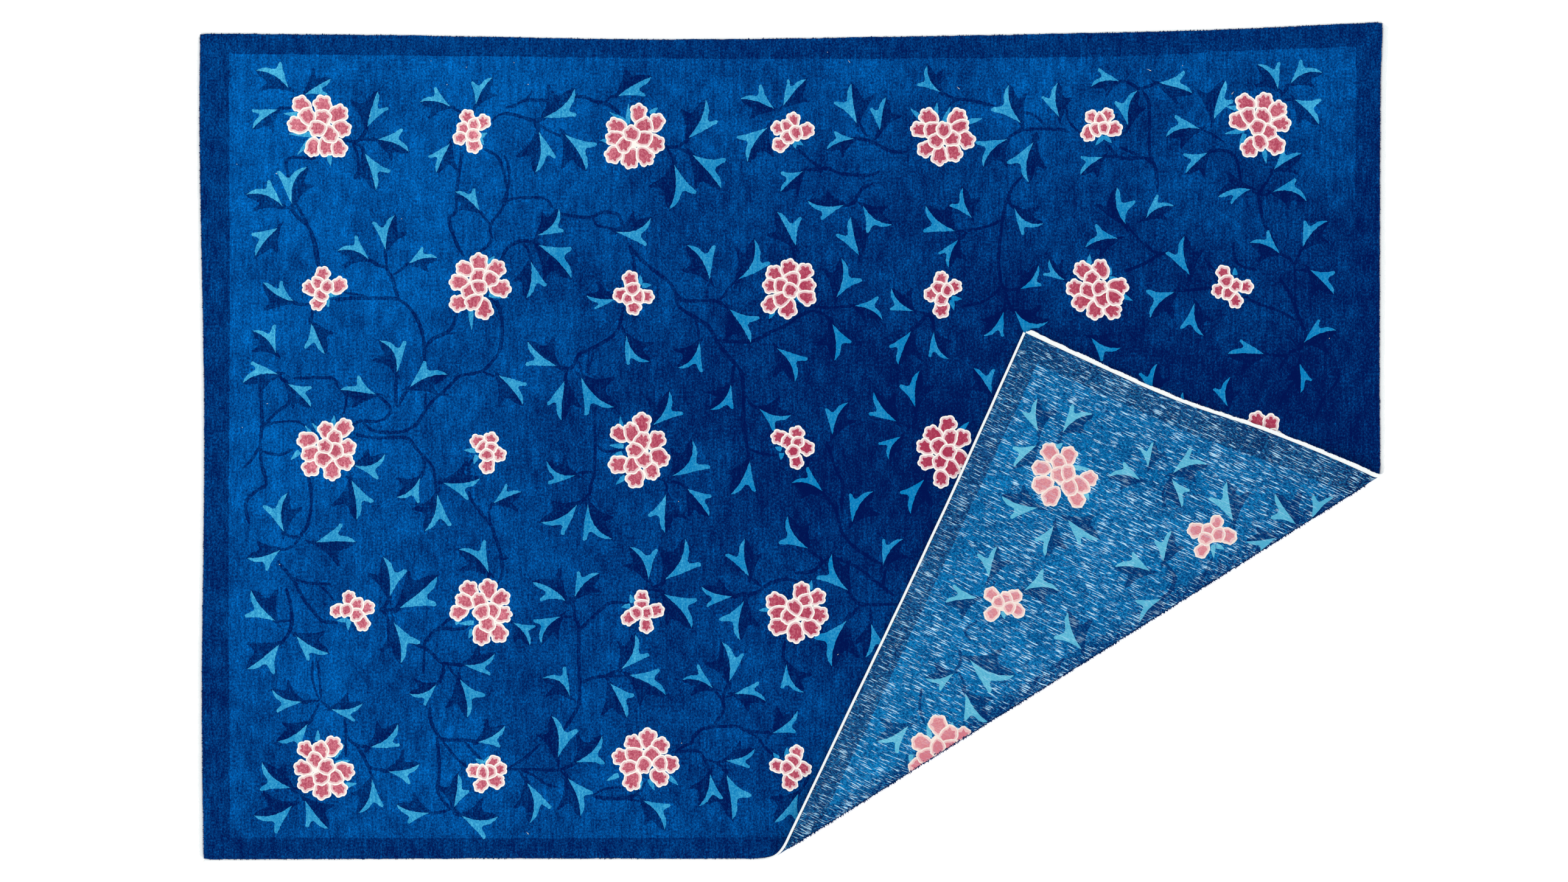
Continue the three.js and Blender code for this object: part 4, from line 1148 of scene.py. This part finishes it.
def knotted_wool(name, dye, back=False, fleck=0.0):
    """Hand-knotted wool with a cut pile, dyed in the yarn: it gives the eye a soft matt colour that is
    mottled from knot to knot, drawn out in fine lines along the wefts and uneven from one dye lot to the
    next, with a broad gradient over the sheet that is partly dye and partly painted light and shade. Its
    back shows the knots' loops, with flecks and lines of pale weft between them, and painted shade round
    the fold's roll."""
    made = bpy.data.materials.new(name)
    made.use_nodes = True
    tree = made.node_tree
    tree.nodes.clear()
    pale, deep, start, gain = dye
    place = node(tree, "ShaderNodeUVMap", uv_map="sheet").outputs["UV"]
    # Knots are 2.4 mm apart, which is finer than a pixel of the render, so the mottle is drawn at twice that
    mottle = noise(tree, place, 190.0, 1.3, 3.0, 0.75)
    streaks = noise(tree, place, 130.0, 11.0)
    patches = noise(tree, place, 28.0, 1.6, 3.0, 0.65)
    parts = [(dye_and_light_level(tree, place), gain), (mottle, MOTTLE), (streaks, STREAKS), (patches, PATCHES)]
    depth = total(tree, parts, start)
    # The back takes painted shade round the fold's roll
    if back:
        depth = total(tree, [(fold_painted_shade(tree, place), FOLD_SHADE)], depth)
    # A dye's colour falls off with its depth as a square does
    left = node(tree, "ShaderNodeMapRange", {"Value": depth, "From Min": ALL_DEEP, "From Max": ALL_PALE})
    share = node(tree, "ShaderNodeMath", {0: left.outputs["Result"], 1: 2.0}, operation="POWER").outputs[0]
    inputs = {"Factor": share, "A": linear(deep), "B": linear(pale)}
    paint = node(tree, "ShaderNodeMix", inputs, data_type="RGBA").outputs["Result"]
    if fleck:
        paint = flecked(tree, place, paint, fleck)
    raised = node(tree, "ShaderNodeBump", {"Height": mottle, "Strength": 0.5, "Distance": 0.0015})
    # The ends of cut yarn have no surface to shine, so next to nothing is mirrored
    wool = node(tree, "ShaderNodeBsdfPrincipled", {
        "Base Color": paint, "Roughness": 0.95, "IOR": 1.5, "Specular IOR Level": 0.02,
        "Normal": raised.outputs["Normal"],
    })
    node(tree, "ShaderNodeOutputMaterial", {"Surface": wool.outputs["BSDF"]})
    return made


def cotton(name, colour, across, along):
    """Undyed cotton yarn, woven or wrapped: a matt, slightly cool white with fine shadow lines between the
    threads. across and along are the threads' repeats for each metre."""
    made = bpy.data.materials.new(name)
    made.use_nodes = True
    tree = made.node_tree
    tree.nodes.clear()
    place = node(tree, "ShaderNodeTexCoord").outputs["Object"]
    scaled = node(tree, "ShaderNodeMapping", {"Vector": place, "Scale": (across, along, 300.0)})
    inputs = {"Vector": scaled.outputs["Vector"], "Scale": 1.0, "Detail": 2.0}
    threads = node(tree, "ShaderNodeTexNoise", inputs).outputs["Fac"]
    shade = node(tree, "ShaderNodeMapRange", {
        "Value": threads, "From Min": 0.3, "From Max": 0.6, "To Min": 0.93, "To Max": 1.0,
    })
    inputs = {0: colour, "Scale": shade.outputs["Result"]}
    tint = node(tree, "ShaderNodeVectorMath", inputs, operation="SCALE")
    raised = node(tree, "ShaderNodeBump", {"Height": threads, "Strength": 0.4, "Distance": 0.0008})
    yarn = node(tree, "ShaderNodeBsdfPrincipled", {
        "Base Color": tint.outputs["Vector"], "Roughness": 0.9, "IOR": 1.5, "Specular IOR Level": 0.2,
        "Normal": raised.outputs["Normal"],
    })
    node(tree, "ShaderNodeOutputMaterial", {"Surface": yarn.outputs["BSDF"]})
    return made


# Settings and operators


def default_colour(code):
    """A colour setting's default: a hex code's linear red, green and blue."""
    return linear(code)[:3]


class RugSizes(bpy.types.PropertyGroup):
    """Sizes of the rug's details."""

    knot_step: bpy.props.FloatProperty(
        name="Outline step", description="Length of one step of the pattern's knotted outlines",
        default=0.005, min=0.002, max=0.02, unit="LENGTH",
    )
    edge_step: bpy.props.FloatProperty(
        name="Edge step", description="Length of one step along the rug's edge",
        default=0.01, min=0.004, max=0.05, unit="LENGTH",
    )
    stitch: bpy.props.FloatProperty(
        name="Overcast stitch", description="Distance between two stitches of the side cords",
        default=0.0042, min=0.002, max=0.02, unit="LENGTH",
    )


class RugColours(bpy.types.PropertyGroup):
    """Colours of the undyed yarns and of the floor."""

    cotton: bpy.props.FloatVectorProperty(
        name="Cotton", description="Cotton of the end bands and side cords", subtype="COLOR", size=3,
        default=default_colour("#F1F5F5"), min=0, max=1,
    )
    tail: bpy.props.FloatVectorProperty(
        name="Loose cotton", description="Cotton of the loose tail and the lint", subtype="COLOR", size=3,
        default=default_colour("#F2F0EA"), min=0, max=1,
    )
    floor: bpy.props.FloatVectorProperty(
        name="Floor", description="Studio floor", subtype="COLOR", size=3,
        default=default_colour("#FCFCFC"), min=0, max=1,
    )


class MakeRug(bpy.types.Operator):
    """Makes the rug's cloth: pile, foundation and back as one closed sheet"""

    bl_idname = "rug.make_cloth"
    bl_label = "Rug cloth"

    def execute(self, context):
        sizes = context.scene.rug_sizes
        points, faces, slots, maps = cloth(sizes.knot_step * 1000, sizes.edge_step * 1000)
        wools = [knotted_wool(f"cut_wool_{yarn}", DYES[yarn]) for yarn in YARNS]
        wools += [
            knotted_wool(f"wool_back_{yarn}", BACK_DYES[yarn], True, BACK_FLECKS[yarn]) for yarn in YARNS
        ]
        made = piece("rug", points, faces, wools, slots, maps)
        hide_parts("rug_body")
        return {"FINISHED"}


# The band's section: its share of the width and its height, round from the pile's edge
BAND_SECTION = np.array([
    (0, 0), (.35, 0), (.7, 0), (.93, .2), (1, 1.2), (.93, 2.5), (.7, BAND_THICKNESS),
    (.35, BAND_THICKNESS), (0, BAND_THICKNESS),
])
BAND_STEP = 3
END_FIBRES = 520


class MakeBands(bpy.types.Operator):
    """Makes the flat-woven cotton bands at the two short ends, with their ragged outer edges"""

    bl_idname = "rug.make_bands"
    bl_label = "End bands"

    def execute(self, context):
        rng = np.random.default_rng(11)
        white = cotton("flat_woven_cotton", context.scene.rug_colours.cotton, 500.0, 250.0)
        for name, node_name, widths, sign, side in (
            ("end_weave_left", "end_band_left", LEFT_BAND, -1, "left"),
            ("end_weave_right", "end_band_right", RIGHT_BAND, 1, "right"),
        ):
            low, high = EDGES[side][0][0], EDGES[side][-1][0]
            at = np.linspace(low + 1, high - 1, int((high - low) / BAND_STEP))
            edge = edge_at(EDGES[side], at)
            width = np.interp(at, *np.array(widths).T)
            width += wander(len(at), 1.5, 1.0, rng) + wander(len(at), 7.0, 1.3, rng)
            # The band narrows towards the sheet's corners
            width *= np.clip(np.minimum(at - low, high - at) / 12, 0.35, 1)
            across = edge[:, None] + sign * (PIECE_GAP + BAND_SECTION[None, :, 0] * width[:, None])
            flat = np.stack([across, np.repeat(at[:, None], len(BAND_SECTION), 1)], 2)
            rings = lay_grid(flat, np.broadcast_to(BAND_SECTION[:, 1], across.shape))
            band = swept(name, rings, white)
            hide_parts(node_name)
            # Fibres that stand out of the ragged edge, drawn 1 mm thick at the foot so that they show
            along = rng.uniform(low + 6, high - 6, END_FIBRES)
            start = np.interp(along, at, edge + sign * (PIECE_GAP + width * 0.8))
            length = rng.uniform(2.5, 6.5, END_FIBRES)
            root = lay(np.stack([start, along], 1), rng.uniform(0.8, 2.4, END_FIBRES))
            end = np.stack([start + sign * length, along + rng.normal(0, 2.2, END_FIBRES)], 1)
            tip = lay(end, rng.uniform(0.6, 2.2, END_FIBRES))
            fibres = spikes(f"end_fibres_{side}", root, tip, 0.0006, white, rng)
        return {"FINISHED"}


class MakeCords(bpy.types.Operator):
    """Makes the overcast side cords along the two long sides"""

    bl_idname = "rug.make_cords"
    bl_label = "Side cords"

    def execute(self, context):
        stitch = context.scene.rug_sizes.stitch * 1000
        white = cotton("overcast_cotton_yarn", context.scene.rug_colours.cotton, 240.0, 400.0)
        rng = np.random.default_rng(5)
        # The cord's section is a rounded oblong: the signed powers of sine and cosine
        angle = np.linspace(0, math.tau, 12, endpoint=False)
        half_wide, half_high = (CORD_TUCK + CORD_REACH) / 2, CORD_HEIGHT / 2
        wide = np.sign(np.cos(angle)) * np.abs(np.cos(angle)) ** 0.7 * half_wide
        high = np.sign(np.sin(angle)) * np.abs(np.sin(angle)) ** 0.7 * half_high
        middle = (CORD_REACH - CORD_TUCK) / 2
        for name, node_name, sign, side in (
            ("overcast_cord_top", "side_cord_top", 1, "top"),
            ("overcast_cord_bottom", "side_cord_bottom", -1, "bottom"),
        ):
            start, end = EDGES[side][0][0], EDGES[side][-1][0]
            # Four rings a stitch. It swells the cord, which dips between two stitches, more next to the pile
            count = int((end - start) / stitch * 4)
            at = np.linspace(start + 0.5, end - 0.5, count)
            dip = 1 - np.abs(np.sin(np.arange(count) * math.pi / 4))
            inner = np.clip(-np.cos(angle), 0, 1)
            shrink = 1 - dip[:, None] * (0.05 + 0.13 * inner[None])
            shift = wander(count, 60.0, 0.5, rng)
            out = middle + shift[:, None] * 0.6 + wide[None] * shrink
            height = half_high + high[None] * shrink * 0.98 + 0.05
            edge = edge_at(EDGES[side], at)
            flat = np.stack([np.repeat(at[:, None], len(angle), 1), edge[:, None] + sign * out], 2)
            cord = swept(name, lay_grid(flat, height), white)
            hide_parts(node_name)
        return {"FINISHED"}


EDGE_TUFTS, FOLD_TUFTS = 3600, 2600
TUFT_CORNER = 14  # no tufts nearer to a corner than this


class MakeTufts(bpy.types.Operator):
    """Makes the wool tufts that lean out over the pile's edge and out of the fold"""

    bl_idname = "rug.make_tufts"
    bl_label = "Edge tufts"

    def execute(self, context):
        rng = np.random.default_rng(21)
        navy = knotted_wool("cut_wool_edge", DYES["border"])
        loop = outline(EDGES, [np.linspace(0, 1, 400, endpoint=False)] * 4)
        at = np.sort(rng.uniform(0, 1, EDGE_TUFTS)) * len(loop)
        low = at.astype(int)
        part = (at - low)[:, None]
        spot = loop[low] * (1 - part) + loop[(low + 1) % len(loop)] * part
        out = outward(loop)[low]
        clear = np.linalg.norm(spot[:, None] - corners(EDGES)[None], axis=2).min(1) > TUFT_CORNER
        spot, out = spot[clear], out[clear]
        root = lay(spot - out * 2.5, rng.uniform(7.8, 9.6, len(spot)))
        lean = out * rng.uniform(0.2, 3.2, len(spot))[:, None] + rng.normal(0, 1.0, spot.shape)
        tip = lay(spot + lean, rng.uniform(7.0, 10.0, len(spot)))
        edge = spikes("pile_edge_tufts", root, tip, 0.0024, navy, rng)
        # Along the fold the knots' loops are splayed, so that short ends stand out of the back
        # Their wool takes the back's painted shade round the fold
        blue = knotted_wool("wool_back_fold_shaded", BACK_DYES["vine"], True)
        x = rng.uniform(-70, 1735, FOLD_TUFTS)
        past = ROLL_NEUTRAL * rng.normal(math.pi / 2 + 0.1, 0.22, FOLD_TUFTS)
        y = (ROLL_START + past - x * FOLD_NORMAL[0]) / FOLD_NORMAL[1]
        fold = np.stack([x, y], 1)[(y > -1235) & (x < 1740)]
        lean = rng.normal(0, 3.0, fold.shape)
        root = lay(fold, np.full(len(fold), 1.0))
        tip = lay(fold + lean, -rng.uniform(1.0, 9.0, len(fold)) * rng.uniform(0.1, 1, len(fold)))
        fold_edge = spikes("fold_tufts", root, tip, 0.0028, blue, rng)
        return {"FINISHED"}


TAIL_START, TAIL_RUN = (-1757, -1258), (-24, -15)  # where the tail leaves the cord, and how far it runs


class MakeTail(bpy.types.Operator):
    """Makes the knotted cotton tail at the near left corner and the bits of lint on the pile"""

    bl_idname = "rug.make_tail"
    bl_label = "Tail and lint"

    def execute(self, context):
        rng = np.random.default_rng(9)
        white = cotton("loose_cotton_yarn", context.scene.rug_colours.tail, 500.0, 500.0)
        # A yarn tail from the cord's end, thick where it is knotted: the radius swells twice along it
        t = np.linspace(0, 1, 40)
        x = TAIL_START[0] + TAIL_RUN[0] * t
        y = TAIL_START[1] + TAIL_RUN[1] * t + 3 * np.sin(4 * t)
        knot, end = np.exp(-(((t - 0.55) / 0.16) ** 2)), np.exp(-(((t - 0.86) / 0.1) ** 2))
        radius = 1.4 + 2.0 * knot + 1.1 * end
        radius *= np.sqrt(np.clip(np.minimum(t, 1 - t) * 12, 0.05, 1))
        angle = np.linspace(0, math.tau, 10, endpoint=False)
        ripple = 1 + 0.12 * np.sin(3 * angle[None] + 30 * t[:, None])
        wide = radius[:, None] * ripple * np.cos(angle)
        flat = np.stack([x[:, None] + 0.5 * wide, y[:, None] + wide], 2)
        height = radius[:, None] * (1 + ripple * np.sin(angle) * 0.95)
        tail = swept("cotton_tail", lay_grid(flat, height), white)
        places = np.array(LINT, float)
        turn = rng.uniform(0, math.pi, len(places))
        run = np.stack([np.cos(turn), np.sin(turn)], 1) * places[:, 2:] / 2
        root = lay(places[:, :2] - run, np.full(len(places), THICKNESS + 0.4))
        tip = lay(places[:, :2] + run, np.full(len(places), THICKNESS + 1.2))
        lint = spikes("lint", root, tip, 0.0013, white, rng)
        return {"FINISHED"}


# The stage, in metres. The camera looks straight down, and the photo's width takes in FRAME_WIDTH at the
# height of the rug's face.
EYE = (-0.0257, -0.0006, 25.0)
FRAME_WIDTH = 4.714
SENSOR = 36.0
FLOOR_HALF, FLOOR_LEVEL = 40.0, -0.0005
SKY, SUN, GLOW = 1.06, 0.12, 0.35  # strength of the even light, the lamp and the floor's own glow


class MakeStage(bpy.types.Operator):
    """Makes the pale floor, the soft studio light and the camera straight above"""

    bl_idname = "rug.make_stage"
    bl_label = "Floor, light and camera"

    def execute(self, context):
        scene = context.scene
        pale = bpy.data.materials.new("painted_studio_floor")
        pale.use_nodes = True
        # It glows a little, as a light table does, because the photo's ground has no shadow on it
        for name, value in (
            ("Base Color", (*scene.rug_colours.floor, 1)), ("Roughness", 0.9), ("Specular IOR Level", 0.1),
            ("Emission Color", (1, 1, 1, 1)), ("Emission Strength", GLOW),
        ):
            pale.node_tree.nodes["Principled BSDF"].inputs[name].default_value = value
        mesh = bpy.data.meshes.new("floor")
        signs = ((-1, -1), (1, -1), (1, 1), (-1, 1))
        square = [(FLOOR_HALF * x, FLOOR_HALF * y, FLOOR_LEVEL) for x, y in signs]
        mesh.from_pydata(square, [], [(0, 1, 2, 3)])
        mesh.materials.append(pale)
        floor = bpy.data.objects.new("floor", mesh)
        scene.collection.objects.link(floor)
        world = bpy.data.worlds.new("studio")
        world.use_nodes = True
        world.node_tree.nodes["Background"].inputs["Color"].default_value = (1, 1, 1, 1)
        world.node_tree.nodes["Background"].inputs["Strength"].default_value = SKY
        scene.world = world
        lamp = bpy.data.lights.new("soft_light", "SUN")
        lamp.energy = SUN
        lamp.angle = math.radians(60)
        light = bpy.data.objects.new("soft_light", lamp)
        light.rotation_euler = (math.radians(-18), math.radians(-22), 0)
        scene.collection.objects.link(light)
        scene.view_settings.view_transform = "Standard"
        camera = bpy.data.cameras.new("camera")
        camera.sensor_width = SENSOR
        camera.lens = SENSOR * (EYE[2] - THICKNESS / 1000) / FRAME_WIDTH
        camera.clip_end = 200.0
        eye = bpy.data.objects.new("camera", camera)
        eye.location = EYE
        scene.collection.objects.link(eye)
        scene.camera = eye
        return {"FINISHED"}


class RugPanel(bpy.types.Panel):
    """Lists the rug's pieces and their settings"""

    bl_idname = "VIEW3D_PT_rug"
    bl_label = "Rug"
    bl_space_type = "VIEW_3D"
    bl_region_type = "UI"
    bl_category = "Rug"

    def draw(self, context):
        for group in (context.scene.rug_sizes, context.scene.rug_colours):
            for name in group.bl_rna.properties.keys():
                if name not in ("rna_type", "name"):
                    self.layout.prop(group, name)
        for operator in OPERATORS:
            self.layout.operator(operator.bl_idname)


OPERATORS = (MakeRug, MakeBands, MakeCords, MakeTufts, MakeTail, MakeStage)
CLASSES = (RugSizes, RugColours, *OPERATORS, RugPanel)


def register():
    """Registers the classes and gives each scene the rug's settings."""
    for kind in CLASSES:
        bpy.utils.register_class(kind)
    bpy.types.Scene.rug_sizes = bpy.props.PointerProperty(type=RugSizes)
    bpy.types.Scene.rug_colours = bpy.props.PointerProperty(type=RugColours)


def unregister():
    """Takes the settings and the classes away again."""
    del bpy.types.Scene.rug_colours
    del bpy.types.Scene.rug_sizes
    for kind in reversed(CLASSES):
        bpy.utils.unregister_class(kind)


def main():
    register()
    bpy.ops.rug.make_cloth()
    bpy.ops.rug.make_bands()
    bpy.ops.rug.make_cords()
    bpy.ops.rug.make_tufts()
    bpy.ops.rug.make_tail()
    bpy.ops.rug.make_stage()


if __name__ == "__main__":
    main()
